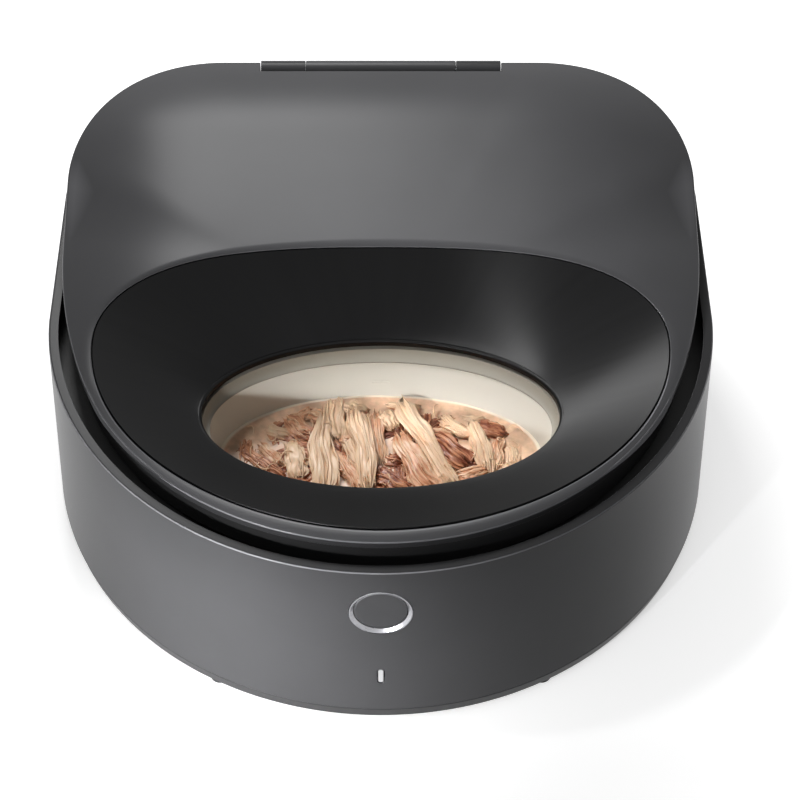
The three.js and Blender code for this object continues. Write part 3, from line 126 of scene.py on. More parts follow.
def length(name, description, default):
    """A size that a user may change, in metres."""
    return FloatProperty(name=name, description=description, default=default,
                         unit="LENGTH", precision=5)


def share(name, description, default):
    """A plain number that a user may change."""
    return FloatProperty(name=name, description=description, default=default)


def linear(red, green, blue):
    """Scene colour from the usual 0 to 255 steps."""
    return tuple(v / 12.92 / 255 if v <= 10 else ((v / 255 + 0.055) / 1.055) ** 2.4
                 for v in (red, green, blue))


def colour(name, description, default):
    """A colour that a user may change."""
    return FloatVectorProperty(name=name, description=description, default=default,
                               subtype="COLOR", size=3, min=0, max=1)


class FeederBody(bpy.types.PropertyGroup):
    """Sizes of the base's wall, rim and bottom ring."""
    radius: length("Radius", "Radius of the round front", SHELL_HIGH.x)
    back: length("Back", "From the middle to the back wall", SHELL_HIGH.y)
    side_taper: length("Side taper", "How far the sides draw in behind the round front", 0.0025)
    corner: length("Corner radius", "Radius of the two back corners", 0.075)
    wall: length("Wall", "Thickness of the wall", 0.0028)
    rim_width: length("Rim width", "Width of the rolled rim", 0.0046)
    rim_depth: length("Rim depth", "Height of the rolled rim", 0.003)
    rim_round: length("Rim rounding", "Radius of the rim's outer edge", 0.001)
    rim_top: length("Rim top", "Height of the rim", 0.1064)
    bottom: length("Wall bottom", "Height of the wall's lower edge", SHELL_LOW.z)
    plate_taper: length("Ring taper", "How far the bottom ring draws in", 0.0016)
    plate_chamfer: length("Ring chamfer", "Chamfer under the bottom ring", 0.0022)
    plate_floor: length("Floor", "Thickness of the floor", 0.0025)
    plate_wall: length("Ring wall", "Thickness of the bottom ring's wall", 0.0026)


class FeederLid(bpy.types.PropertyGroup):
    """Sizes of the hood, its narrow rim and the dish."""
    front: length("Front radius", "Radius of the lid's round front", -LID_LOW.y)
    half_width: length("Half width", "Half the lid's width", LID_HIGH.x)
    back: length("Back", "From the middle to the lid's back edge", PAN_HIGH.y + PAN_INSET)
    corner: length("Corner radius", "Radius of the two back corners", 0.0735)
    front_end: FloatProperty(name="Front end", description="Where the round front ends",
                             default=math.radians(18), subtype="ANGLE")
    flare_rise: length("Flare rise", "From the flare's end to the back corner", 0.0345)
    flare_pull: length("Flare pull", "Length of the flare's handles", 0.03)
    bottom: length("Bottom", "Height of the lid's lower edge", 0.1106)
    side_wall: length("Side wall", "Thickness of the side wall", 0.0028)
    top_wall: length("Top wall", "Thickness of the hood", 0.0024)
    edge_round: length("Edge rounding", "Radius of the outer edge", 0.0009)
    edge_front: length("Front edge", "Height of the outer edge in front", 0.1144)
    edge_back: length("Back edge", "Height of the outer edge at the hinge", 0.1307)
    rise_run: length("Rise run", "How far in front of the back edge it starts to rise", 0.113)
    hood_front: length("Hood front", "Height of the hood's slope at the front", 0.1159)
    hood_slope: share("Hood slope", "Rise of the hood over its run", 0.086)
    crown_inset: length("Crown inset", "From the back edge to the rounded back", 0.0544)
    crown_radius: length("Crown radius", "Radius of the rounded back", 0.143)
    shoulder_width: length("Shoulder", "Width of the falling shoulder", 0.0915)
    shoulder_run: length("Shoulder run", "Run over which it falls", 0.073)
    shoulder_drop: length("Shoulder drop", "How far the shoulder falls", 0.0081)
    dish_y: length("Dish middle", "Where the dish is widest", -0.027)
    dish_half_width: length("Dish half width", "Half the dish's width", 0.1332)
    dish_front: length("Dish front", "From its middle to its front", 0.1095)
    dish_back: length("Dish back", "From its middle to its back", 0.0518)
    dish_front_power: share("Front fullness", "Fullness of the dish's front curve", 1.91)
    dish_back_power: share("Back fullness", "Fullness of the dish's back curve", 2.5)
    dish_edge: length("Dish edge", "Height of the lid at the dish's front", 0.1154)
    dish_drop: length("Dish drop", "How far the dish sits below the lid", 0.0007)
    dish_gap: length("Dish gap", "Gap round the dish", 0.0005)
    dish_curve: share("Dish curve", "Curve of the dish from edge to window", 1.12)
    dish_wall: length("Dish wall", "Thickness of the dish", 0.0022)
    soft_width: length("Inner edge", "Width of the soft edge round the dish", 0.0044)
    soft_drop: length("Inner edge drop", "How far the soft edge falls", 0.0007)
    bevel: length("Bevel", "Width of the bevel round the dish", 0.0011)
    window_width: length("Window", "Half width of the window", SEAL_HIGH.x - SEAL_WALL)
    window_depth: length("Window depth", "Half depth of the window",
                         (SEAL_HIGH.y - SEAL_LOW.y) / 2 - SEAL_WALL)
    window_edge: length("Window edge", "Height of the window's edge", 0.1016)
    lip_bottom: length("Lip bottom", "Height of the lower edge of the window's lip", 0.0986)
    lip: length("Lip", "Thickness of the window's lip", 0.0018)


class FeederBowls(bpy.types.PropertyGroup):
    """Sizes of the tray and its bowls."""
    radius: length("Tray radius", "Radius of the tray", TRAY_HIGH.x)
    half_width: length("Bowl half width", "Half a bowl's width", 0.079)
    half_depth: length("Bowl half depth", "Half a bowl's depth", 0.0425)
    deck: length("Deck", "Thickness of the deck", 0.0024)
    skirt: length("Skirt", "Height of the skirt", 0.01)
    wall: length("Wall", "Thickness of the bowls", 0.002)
    lip_round: length("Lip rounding", "Radius of a bowl's lip", 0.0011)
    count: IntProperty(name="Bowls", description="Number of bowls", default=3, min=1)
    food_level: length("Broth level", "Height of the broth", 0.0715)
    seed: IntProperty(name="Seed", description="Seed of the food's shapes", default=7)


class FeederColours(bpy.types.PropertyGroup):
    """Colours of the finishes."""
    body: colour("Body", "Satin anthracite of the base and lid", linear(74, 74, 76))
    dish: colour("Dish", "Black satin of the dish", linear(9, 9, 10))
    black: colour("Black plastic", "Fine-textured black plastic", linear(20, 20, 21))
    cream: colour("Cream", "Cream of the bowls", linear(210, 208, 199))
    taupe: colour("Seal", "Warm grey of the window's seal", linear(146, 141, 130))
    pale: colour("Pale meat", "Pale meat", linear(229, 193, 160))
    pink: colour("Pink meat", "Pinkish meat", linear(207, 146, 108))
    brown: colour("Brown meat", "Reddish-brown meat", linear(132, 66, 38))
    broth: colour("Broth", "Hazy broth", linear(228, 190, 160))


class FeederStage(bpy.types.PropertyGroup):
    """Light of the lamps and the surroundings. The lamps' powers are in watts."""
    wall: share("Wall lamp", "Power of the lamp on the left of the wall", 0.17)
    low: share("Low lamp", "Power of the low lamp at the left", 0.03)
    bowl: share("Bowl lamp", "Power of the lamp over the bowl", 0.0018)
    back: share("Back lamp", "Power of the lamp behind the hood", 4.15)
    dish: share("Dish lamp", "Power of the lamp that streaks the dish", 0.09)
    ambient: share("Ambient", "Light of the surroundings", 0.02)


GROUPS = {
    "feeder_body": FeederBody,
    "feeder_lid": FeederLid,
    "feeder_bowls": FeederBowls,
    "feeder_colours": FeederColours,
    "feeder_stage": FeederStage,
}


def body():
    """The sizes of the base that the scene holds."""
    return bpy.context.scene.feeder_body


def lid():
    """The sizes of the lid that the scene holds."""
    return bpy.context.scene.feeder_lid


def bowls():
    """The sizes of the tray that the scene holds."""
    return bpy.context.scene.feeder_bowls


def tones():
    """The colours that the scene holds."""
    return bpy.context.scene.feeder_colours


# Outlines, each an array of x, y points that runs anticlockwise seen from above


def arc(x, y, radius, start, end, steps):
    """Points on an arc, without its last point. The angles are in degrees."""
    turn = np.radians(np.linspace(start, end, steps, endpoint=False))
    return np.column_stack((x + radius * np.cos(turn), y + radius * np.sin(turn)))


def line(start, end, steps):
    """Points on a straight line, without its last point."""
    along = np.linspace(0, 1, steps, endpoint=False)[:, None]
    return np.array(start) + (np.array(end) - np.array(start)) * along


def base_corner():
    """The middle of the base's right back corner."""
    s = body()
    return s.radius - s.side_taper - s.corner, s.back - s.corner


def body_outline(inset):
    """The base: a round front, sides that draw in a little and two round back corners."""
    s = body()
    front, back, corner = s.radius - inset, s.back - inset, s.corner - inset
    side = s.radius - s.side_taper - inset
    x, y = base_corner()
    return np.vstack((
        arc(x, y, corner, 0, 90, CORNER_POINTS),
        line((x, back), (-x, back), 8),
        arc(-x, y, corner, 90, 180, CORNER_POINTS),
        line((-side, y), (-front, 0), 6),
        arc(0, 0, front, 180, 360, FRONT_POINTS),
        line((front, 0), (side, y), 6),
    ))


def lid_flare(inset, points=17):
    """A soft curve from the round front of the lid to its straight right side."""
    s = lid()
    start = np.array((math.cos(s.front_end), -math.sin(s.front_end))) * (s.front - inset)
    leave = start + np.array((math.sin(s.front_end), math.cos(s.front_end))) * s.flare_pull
    end = np.array((s.half_width - inset, s.back - s.corner - s.flare_rise))
    arrive = end - np.array((0, s.flare_pull))
    t = np.linspace(0, 1, points)[:, None]
    return (start * (1 - t) ** 3 + leave * 3 * t * (1 - t) ** 2
            + arrive * 3 * t ** 2 * (1 - t) + end * t ** 3)


def lid_outline(inset):
    """The lid: a round front, two flares, straight sides and two round back corners."""
    s = lid()
    side, back, corner = s.half_width - inset, s.back - inset, s.corner - inset
    x, y = s.half_width - s.corner, s.back - s.corner
    right = lid_flare(inset)
    left = (right * (-1, 1))[::-1]
    turn = math.degrees(s.front_end)
    return np.vstack((
        arc(x, y, corner, 0, 90, CORNER_POINTS),
        line((x, back), (-x, back), 24),
        arc(-x, y, corner, 90, 180, CORNER_POINTS),
        line((-side, y), left[0], 14),
        left[:-1],
        arc(0, 0, s.front - inset, 180 + turn, 360 - turn, FRONT_POINTS),
        right[:-1],
        line(right[-1], (side, y), 14),
    ))


def spokes():
    """Directions from the dish's middle, shared by the dish and the lid."""
    outline = lid_outline(0)
    return np.arctan2(outline[:, 1] - lid().dish_y, outline[:, 0])


def dish_outline(margin):
    """The dish's edge, fuller behind than in front. It grows by the margin."""
    s = lid()
    angle = spokes()
    behind = np.sin(angle) > 0
    reach = np.where(behind, s.dish_back, s.dish_front) + margin
    power = np.where(behind, s.dish_back_power, s.dish_front_power)
    across = np.abs(np.cos(angle) / (s.dish_half_width + margin)) ** power
    along = np.abs(np.sin(angle) / reach) ** power
    radius = (across + along) ** (-1 / power)
    return np.column_stack((radius * np.cos(angle), s.dish_y + radius * np.sin(angle)))


def window_outline(margin):
    """The oval window. It grows by the margin."""
    s = lid()
    angle = spokes()
    return np.column_stack(((s.window_width + margin) * np.cos(angle),
                            WINDOW_Y + (s.window_depth + margin) * np.sin(angle)))


def about_hub(x, y, turn):
    """A place beside the tray's shaft, turned about it."""
    return (x * math.cos(turn) - y * math.sin(turn),
            HUB_Y + x * math.sin(turn) + y * math.cos(turn))


def bowl_outline(inset, turn):
    """A bowl's oval, drawn in by the inset and turned about the tray's shaft."""
    s = bowls()
    angle = np.linspace(0, 2 * math.pi, 144, endpoint=False)
    x = (s.half_width - inset) * np.cos(angle)
    y = WINDOW_Y - HUB_Y + (s.half_depth - inset) * np.sin(angle)
    return np.column_stack(about_hub(x, y, turn))


# Heights of the lid


def smooth(value, start, end):
    """0 up to the start, 1 from the end on, and an even rise between them."""
    t = np.clip((value - start) / (end - start), 0, 1)
    return t * t * (3 - 2 * t)


HOOD_FRONT_INSET = 0.0027             # from the lid's front to where the hood's slope starts
DISH_RISE = (-0.053, 0.007)           # where its edge rises, from the dish's middle
BEVEL_FADE = (-0.05, 0.01)            # where its bevel narrows, from the dish's middle
BEVEL_BEHIND = 0.2                    # share of the bevel's width that is left behind the dish


def hood_height(x, y):
    """The height of the hood: a gentle slope with soft shoulders and a rounded back."""
    s = lid()
    slope = math.atan(s.hood_slope)
    front_y = -(s.front - HOOD_FRONT_INSET)
    crown_y = s.back - s.crown_inset
    crown_z = s.hood_front + s.hood_slope * (crown_y - front_y)
    centre_y = crown_y + s.crown_radius * math.sin(slope)
    centre_z = crown_z - s.crown_radius * math.cos(slope)
    past = np.clip(y - centre_y, -s.crown_radius, s.crown_radius)
    along = np.where(y <= crown_y, s.hood_front + s.hood_slope * (y - front_y),
                     centre_z + np.sqrt(s.crown_radius ** 2 - past ** 2))
    beyond = np.maximum(0, np.abs(x) - (s.half_width - s.shoulder_width)) / s.shoulder_run
    return along - s.shoulder_drop * beyond ** 3


def edge_height(y):
    """The height of the lid's outer edge, level in front and rising towards the hinge."""
    s = lid()
    return s.edge_front + (s.edge_back - s.edge_front) * smooth(y, s.back - s.rise_run, s.back)


def dish_edge_height(points):
    """The height of the lid where it meets the dish."""
    s = lid()
    start, end = DISH_RISE
    rise = smooth(points[:, 1], s.dish_y + start, s.dish_y + end)
    hood = hood_height(points[:, 0], points[:, 1])
    return s.dish_edge + (hood - s.dish_edge) * rise


def bevelled_outline(part):
    """The dish's outline, wider by a part of the bevel, which narrows to a line behind it."""
    s = lid()
    start, end = BEVEL_FADE
    behind = smooth(dish_outline(0)[:, 1], s.dish_y + start, s.dish_y + end)
    margin = part * s.bevel * (1 - (1 - BEVEL_BEHIND) * behind)
    return dish_outline(margin), margin


def lid_top_ring(reach, part, inset, lower, soft=0.0):
    """One ring of the lid's top. reach runs from 0 at the dish to 1 at the outer edge.

    part is the share of the dish's bevel that the ring starts from, inset is taken off the
    outer edge, lower is how far the ring lies below the top, and soft is the soft edge's drop.
    """
    s = lid()
    inner = bevelled_outline(part)[0]
    outer = lid_outline(inset)
    span = np.linalg.norm(outer - inner, axis=1)
    reach = np.broadcast_to(reach, span.shape)[:, None]
    place = inner + (outer - inner) * reach
    along = reach[:, 0]
    ends = dish_edge_height(inner) * (1 - along) + edge_height(outer[:, 1]) * along
    chord = hood_height(*inner.T) * (1 - along) + hood_height(*outer.T) * along
    z = ends + hood_height(*place.T) - chord - lower
    near = np.maximum(0, 1 - along * span / s.soft_width)
    return np.column_stack((place, z - soft * near ** 2))


# Solids, each a list of points and a list of faces


def level(outline, z):
    """The outline as a ring at one height."""
    return np.column_stack((outline, np.full(len(outline), z)))


def ring_faces(layers, count, looped=False):
    """Faces between rings of equal point counts, looped or capped at both ends."""
    faces = []
    for layer in range(layers if looped else layers - 1):
        low, high = layer * count, (layer + 1) % layers * count
        faces += [(low + i, low + (i + 1) % count, high + (i + 1) % count, high + i)
                  for i in range(count)]
    if not looped:
        faces += [tuple(range(count))[::-1], tuple(range((layers - 1) * count, layers * count))]
    return faces


def skin(rings, looped=False):
    """A closed skin over rings of equal point counts, looped or capped at both ends."""
    rings = np.asarray(rings, float)
    return rings.reshape(-1, 3).tolist(), ring_faces(*rings.shape[:2], looped)


def rounded(points, radius, steps=5, closed=True):
    """The polygon with its corners rounded, all by one radius or each by its own."""
    points = [Vector(p) for p in points]
    radii = [radius] * len(points) if isinstance(radius, (int, float)) else radius
    turned_points = []
    for i, corner in enumerate(points):
        if not radii[i] or (not closed and i in (0, len(points) - 1)):
            turned_points.append(tuple(corner))
            continue
        before = points[i - 1] - corner
        after = points[(i + 1) % len(points)] - corner
        reach = radii[i] / math.tan(before.angle(after) / 2)
        reach = min(reach, before.length / 2, after.length / 2)
        start = corner + before.normalized() * reach
        end = corner + after.normalized() * reach
        for k in range(steps + 1):
            t = k / steps
            turned_points.append(tuple(start * (1 - t) ** 2 + corner * 2 * t * (1 - t)
                                       + end * t ** 2))
    return turned_points


def turned(profile, centre, axis="Z", steps=96, looped=False):
    """A turned body. The profile holds (radius, height) pairs."""
    angle = np.linspace(0, 2 * math.pi, steps, endpoint=False)
    rings = []
    for radius, height in profile:
        across, up = radius * np.cos(angle), radius * np.sin(angle)
        along = np.full(steps, height)
        columns = {"X": (along, across, up), "Y": (across, along, up), "Z": (across, up, along)}
        rings.append(np.column_stack(columns[axis]) + np.array(centre))
    return skin(rings, looped)


def rod(radius, centre, start, end, axis="Z", edge=0.0, steps=64):
    """A round bar with softened ends."""
    profile = [(radius, start), (radius, end)]
    if edge:
        profile = [(radius - edge, start), (radius - edge * 0.3, start + edge * 0.3),
                   (radius, start + edge), (radius, end - edge),
                   (radius - edge * 0.3, end - edge * 0.3), (radius - edge, end)]
    return turned(profile, centre, axis, steps)


def block(low, high):
    """A box between two corners."""
    x0, y0, z0 = low
    x1, y1, z1 = high
    outline = np.array(((x0, y0), (x1, y0), (x1, y1), (x0, y1)))
    return skin([level(outline, z0), level(outline, z1)])


def joined(solids):
    """Several solids that don't touch, as one."""
    points, faces = [], []
    for more_points, more_faces in solids:
        shift = len(points)
        points += list(more_points)
        faces += [tuple(i + shift for i in face) for face in more_faces]
    return points, faces


def mesh_of(name, solid):
    """A mesh with its faces turned outwards."""
    mesh = bpy.data.meshes.new(name)
    mesh.from_pydata(solid[0], [], solid[1])
    work = bmesh.new()
    work.from_mesh(mesh)
    bmesh.ops.recalc_face_normals(work, faces=work.faces)
    work.to_mesh(mesh)
    work.free()
    return mesh


def combine(mesh, operation, *solids):
    """The mesh joined with, cut by or kept within each of the solids, one after the other."""
    scene = bpy.context.scene
    for solid in solids:
        target = bpy.data.objects.new("boolean_target", mesh)
        tool = bpy.data.objects.new(
            "boolean_tool", solid if isinstance(solid, bpy.types.Mesh)
            else mesh_of("boolean_tool", solid))
        scene.collection.objects.link(target)
        scene.collection.objects.link(tool)
        change = target.modifiers.new("Boolean", "BOOLEAN")
        change.operation = operation
        change.solver = "EXACT"
        change.object = tool
        graph = bpy.context.evaluated_depsgraph_get()
        result = bpy.data.meshes.new_from_object(target.evaluated_get(graph))
        bpy.data.objects.remove(target)
        bpy.data.objects.remove(tool)
        if not result.polygons:
            raise RuntimeError(f"{mesh.name}: the {operation.lower()} left nothing")
        mesh = result
    return mesh


def finish_piece(name, solid, rides, material, replaced=(), sharp=SHARP_ANGLE):
    """Shows a solid or mesh as a piece on a body of the frame."""
    mesh = solid if isinstance(solid, bpy.types.Mesh) else mesh_of(name, solid)
    mesh.name = name
    mesh.materials.clear()
    mesh.materials.append(material)
    mesh.polygons.foreach_set("use_smooth", [True] * len(mesh.polygons))
    mesh.set_sharp_from_angle(angle=sharp)
    piece = bpy.data.objects.new(name, mesh)
    bpy.context.scene.collection.objects.link(piece)
    even = piece.modifiers.new("Even shading", "WEIGHTED_NORMAL")
    even.keep_sharp = True
    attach(piece, rides)
    if replaced:
        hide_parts(*replaced)
    return piece


# Finishes

MIX_FIRST, MIX_SECOND, MIX_RESULT = 6, 7, 2     # a Mix node's two colours and its result


class Finish:
    """A node material under construction, around one Principled shader."""

    def __init__(self, name, **settings):
        self.material = bpy.data.materials.new(name)
        self.material.use_nodes = True
        self.tree = self.material.node_tree
        self.tree.nodes.clear()
        self.shader = self.add("ShaderNodeBsdfPrincipled")
        for socket, value in settings.items():
            self.put(self.shader, socket.replace("_", " "), value)
        out = self.add("ShaderNodeOutputMaterial")
        self.tree.links.new(self.shader.outputs[0], out.inputs["Surface"])
        where = self.add("ShaderNodeTexCoord").outputs
        self.place, self.facing = where["Object"], where["Normal"]

    def put(self, node, socket, value):
        """Sets a socket, or links it to another node's output."""
        named = {"Specular": "Specular IOR Level"}.get(socket, socket)
        if isinstance(value, bpy.types.NodeSocket):
            self.tree.links.new(value, node.inputs[named])
        elif isinstance(value, tuple) and len(value) == 3 and "Color" in str(named):
            node.inputs[named].default_value = (*value, 1)
        else:
            node.inputs[named].default_value = value

    def add(self, kind, sockets=None, **options):
        """A new node with its options set and its sockets set or linked."""
        node = self.tree.nodes.new(kind)
        for option, value in options.items():
            setattr(node, option, value)
        for socket, value in (sockets or {}).items():
            self.put(node, socket, value)
        return node

    def noise(self, size, detail=2.0, place=None, roughness=0.5):
        """Noise with features of about the size given, in metres."""
        node = self.add("ShaderNodeTexNoise", {
            "Vector": place or self.place, "Scale": 1 / size, "Detail": detail,
            "Roughness": roughness})
        return node.outputs["Fac"]

    def blend(self, factor, *stops):
        """A ramp of colours. Each stop is a place from 0 to 1 and a colour."""
        ramp = self.add("ShaderNodeValToRGB", {"Fac": factor})
        elements = ramp.color_ramp.elements
        while len(elements) < len(stops):
            elements.new(0.5)
        for element, (at, tone) in zip(elements, stops):
            element.position = at
            element.color = (*tone, 1)
        return ramp.outputs["Color"]

    def spread(self, factor, low, high, start=0.3, end=0.7):
        """The factor mapped from start and end to low and high."""
        node = self.add("ShaderNodeMapRange", {
            "Value": factor, "From Min": start, "From Max": end, "To Min": low, "To Max": high})
        return node.outputs["Result"]

    def maths(self, operation, first, second=0.0):
        """The result of one sum."""
        node = self.add("ShaderNodeMath", {0: first, 1: second}, operation=operation)
        return node.outputs[0]

    def far(self, first, second):
        """The length of the line with these two legs."""
        squares = [self.maths("MULTIPLY", leg, leg) for leg in (first, second)]
        return self.maths("SQRT", self.maths("ADD", *squares))

    def parted(self, vector):
        """The three parts of a vector."""
        return self.add("ShaderNodeSeparateXYZ", {"Vector": vector}).outputs

    def oval_place(self, half_width, half_depth):
        """The place from the window's middle, as shares of an oval's half width and depth."""
        part = self.parted(self.place)
        away = self.maths("SUBTRACT", part["Y"], WINDOW_Y)
        return (self.maths("DIVIDE", part["X"], half_width),
                self.maths("DIVIDE", away, half_depth))

    def uneven(self, factor, roughness, vary):
        """Roughness that varies by a share of itself."""
        return self.spread(factor, roughness * (1 - vary), roughness * (1 + vary))

    def show(self, colour, roughness=None):
        """Gives the surface its colour and, where it varies, its roughness."""
        self.put(self.shader, "Base Color", colour)
        if roughness:
            self.put(self.shader, "Roughness", roughness)

    def emboss(self, height, depth, strength):
        """Gives the surface bumps of the depth given, in metres."""
        bumps = self.add("ShaderNodeBump", {
            "Height": height, "Distance": depth, "Strength": strength})
        self.put(self.shader, "Normal", bumps.outputs["Normal"])


def shaded(tone, scale):
    """The tone made darker or lighter."""
    return tuple(min(1.0, v * scale) for v in tone)


def moulded(name, tone, roughness, grain=0.0006, depth=0.00002, specular=0.5, vary=0.12):
    """A moulded or cast surface: fine grain and uneven gloss."""
    finish = Finish(name, Specular=specular)
    cloud, fine = finish.noise(0.05, 3), finish.noise(grain, 2)
    finish.show(finish.blend(cloud, (0.3, shaded(tone, 1 - vary)), (0.7, shaded(tone, 1 + vary))),
                finish.uneven(fine, roughness, 0.06))
    finish.emboss(fine, depth, 0.5)
    return finish.material


# The satin's masks, for the painted highlight on its edges and the painted shade on its level
# tops and upright sides. A tilt is the upright part of the surface's direction: 0 on an upright
# wall and 1 on a level top.
# Rounded edges between these tilts are painted lighter, a painted highlight, and made smoother.
EDGE_START, EDGE_END = (0.15, 0.35), (0.84, 0.9)      # tilts between which an edge lies
# Level tops and upright sides may be painted darker, as painted shade.
SHADED_TOP_TILT, SHADED_SIDE_TILT = (0.95, 0.99), (0.05, 0.3)       # where level tops start, and sides end
# From the first to the second distance before the back, the edges' painted highlight and
# smoothness fade out.
BACK_FADE = (0.03, 0.014)                             # before the back, where edges go dull
# Where the rim falls in towards the dish, in front of it, it gets a painted highlight band too.
RIM_HIGHLIGHT_TILT = (0.008, 0.019)                             # inward fall of the rim round the dish
RIM_HIGHLIGHT_FADE = (0.07, 0.03)                               # before the dish's middle, where it ends
EDGE_GLOSS = 0.24                                     # roughness of a worn edge


def satin(name, tone, roughness, highlight_tone, top=1.0, side=1.0):
    """Painted satin whose edges are smoother and painted lighter, a painted highlight.

    The last three arguments scale the tone of the edges, the level tops and the upright sides: a
    painted highlight on the edges, and painted shade on the tops and sides.
    """
    s = lid()
    finish = Finish(name, Specular=0.12)
    tilt, behind = finish.parted(finish.facing)["Z"], finish.parted(finish.place)["Y"]
    inner_way = finish.add("ShaderNodeVectorMath", {0: finish.place, 1: (-1, -1, 0)},
                           operation="MULTIPLY").outputs["Vector"]
    inwards = finish.add("ShaderNodeVectorMath", {0: finish.facing, 1: inner_way},
                         operation="DOT_PRODUCT").outputs["Value"]
    # edge: the rounded edges, which get a painted highlight and less roughness.
    edge = finish.maths("MINIMUM", finish.spread(tilt, 0, 1, *EDGE_START),
                        finish.spread(tilt, 1, 0, *EDGE_END))
    edge = finish.maths("MULTIPLY", edge, finish.spread(
        behind, 1, 0, *(s.back - away for away in BACK_FADE)))
    # rim: a painted highlight band where the lid's rim falls in towards the dish.
    rim = finish.maths("MULTIPLY", finish.spread(inwards, 0, 1, *RIM_HIGHLIGHT_TILT), finish.spread(
        behind, 1, 0, *(s.dish_y - away for away in RIM_HIGHLIGHT_FADE)))
    edge = finish.maths("MAXIMUM", edge, rim)
    cloud, fine = finish.noise(0.05, 3), finish.noise(0.00045, 2)
    speck = finish.maths("SUBTRACT", finish.noise(0.0004, 1), 0.5)
    factor = finish.maths("ADD", cloud, finish.maths("MULTIPLY", speck, 0.25))
    # The tone is scaled up on the edges as a painted highlight, and down on level tops and
    # upright sides as painted shade.
    scale = finish.maths("ADD", 1.0, finish.maths("MULTIPLY", edge, highlight_tone - 1))
    scale = finish.maths("MULTIPLY", scale, finish.spread(tilt, 1, top, *SHADED_TOP_TILT))
    scale = finish.maths("MULTIPLY", scale, finish.spread(tilt, side, 1, *SHADED_SIDE_TILT))
    plain = finish.blend(factor, (0.3, shaded(tone, 0.95)), (0.7, shaded(tone, 1.05)))
    scaled = finish.add("ShaderNodeVectorMath", {0: plain, 3: scale}, operation="SCALE")
    worn = finish.spread(edge, roughness * 1.1, EDGE_GLOSS, 0, 1)
    finish.show(scaled.outputs["Vector"],
                finish.maths("MINIMUM", finish.uneven(fine, roughness, 0.06), worn))
    finish.emboss(fine, 0.000012, 0.5)
    return finish.material


def dish_satin():
    """Black satin with the faint rays of a turned and polished dish."""
    s = lid()
    finish = Finish("black_satin", Metallic=0.1, Specular=0.15, Anisotropic=0.7)
    across, along = finish.oval_place(s.window_width, s.window_depth)
    angle = finish.maths("ARCTAN2", along, across)
    wheel = finish.add("ShaderNodeCombineXYZ", {
        "X": finish.maths("COSINE", angle), "Y": finish.maths("SINE", angle)})
    rays = finish.noise(0.05, 3, wheel.outputs["Vector"], 0.6)
    broad = finish.noise(0.4, 1, wheel.outputs["Vector"])
    factor = finish.maths("MULTIPLY", finish.maths("ADD", rays, broad), 0.5)
    tone = tones().dish
    finish.show(finish.blend(factor, (0.35, shaded(tone, 0.8)), (0.65, shaded(tone, 1.3))),
                finish.spread(factor, 0.3, 0.36))
    part = finish.parted(finish.place)
    away = finish.maths("SUBTRACT", part["Y"], WINDOW_Y)
    circling = finish.add("ShaderNodeCombineXYZ", {
        "X": finish.maths("MULTIPLY", away, -1.0), "Y": part["X"]})
    turned_way = finish.add("ShaderNodeVectorTransform", {"Vector": circling.outputs["Vector"]},
                            vector_type="VECTOR", convert_from="OBJECT", convert_to="WORLD")
    way = finish.add("ShaderNodeVectorMath", {0: turned_way.outputs["Vector"]},
                     operation="NORMALIZE")
    finish.put(finish.shader, "Tangent", way.outputs["Vector"])
    finish.emboss(finish.noise(0.0005), 0.00001, 0.3)
    return finish.material


def brushed(name, tone, roughness, stretch, depth=0.00002):
    """Bare metal with a drawn grain along one axis."""
    finish = Finish(name, Metallic=1.0)
    grain = finish.add("ShaderNodeMapping", {"Vector": finish.place, "Scale": stretch})
    lines = finish.noise(0.002, 3, grain.outputs["Vector"])
    finish.show(finish.blend(lines, (0.3, shaded(tone, 0.8)), (0.7, shaded(tone, 1.1))),
                finish.uneven(lines, roughness, 0.2))
    finish.emboss(lines, depth, 0.4)
    return finish.material


# How far red, green and blue light spread inside the food, against each other
WET = {"Subsurface_Radius": (1.0, 0.5, 0.3)}
# A pale line painted along the broth's edge as a painted highlight: where it starts and ends, as
# shares of the way out
MENISCUS_HIGHLIGHT_REACH, MENISCUS_HIGHLIGHT_TONE = (0.972, 0.986), linear(240, 225, 205)


def meat(name, deep, tone, pale):
    """Cooked meat: fibres along each piece, paler and deeper streaks, painted shade in its
    creases, a tone of each piece's own, wet sheen.
    """
    finish = Finish(name, Roughness=0.4, Specular=0.4, Coat_Weight=0.2, Coat_Roughness=0.25,
                    Subsurface_Weight=0.12, Subsurface_Scale=0.002, **WET)
    strip = finish.add("ShaderNodeUVMap", uv_map="fibres").outputs["UV"]
    crease_shade_and_tone = finish.parted(finish.add("ShaderNodeUVMap", uv_map="creases").outputs["UV"])
    stretched = finish.add("ShaderNodeMapping", {
        "Vector": strip, "Scale": (0.12, 1.0, 1.0)}).outputs["Vector"]
    fibres = finish.noise(0.0009, 4, stretched, 0.65)
    streaks, patches = finish.noise(0.003, 2, stretched), finish.noise(0.007, 3)
    factor = finish.maths("MULTIPLY", fibres, 0.25)
    # The creases map's first part paints shade into the creases; its second gives each piece a
    # tone of its own.
    for part, weight in ((streaks, 0.25), (patches, 0.45), (crease_shade_and_tone["X"], 0.32),
                         (crease_shade_and_tone["Y"], 0.16)):
        factor = finish.maths("ADD", factor, finish.maths("MULTIPLY", part, weight))
    finish.show(finish.blend(factor, (0.52, deep), (0.72, tone), (0.9, pale)))
    finish.emboss(fibres, 0.0004, 0.7)
    return finish.material


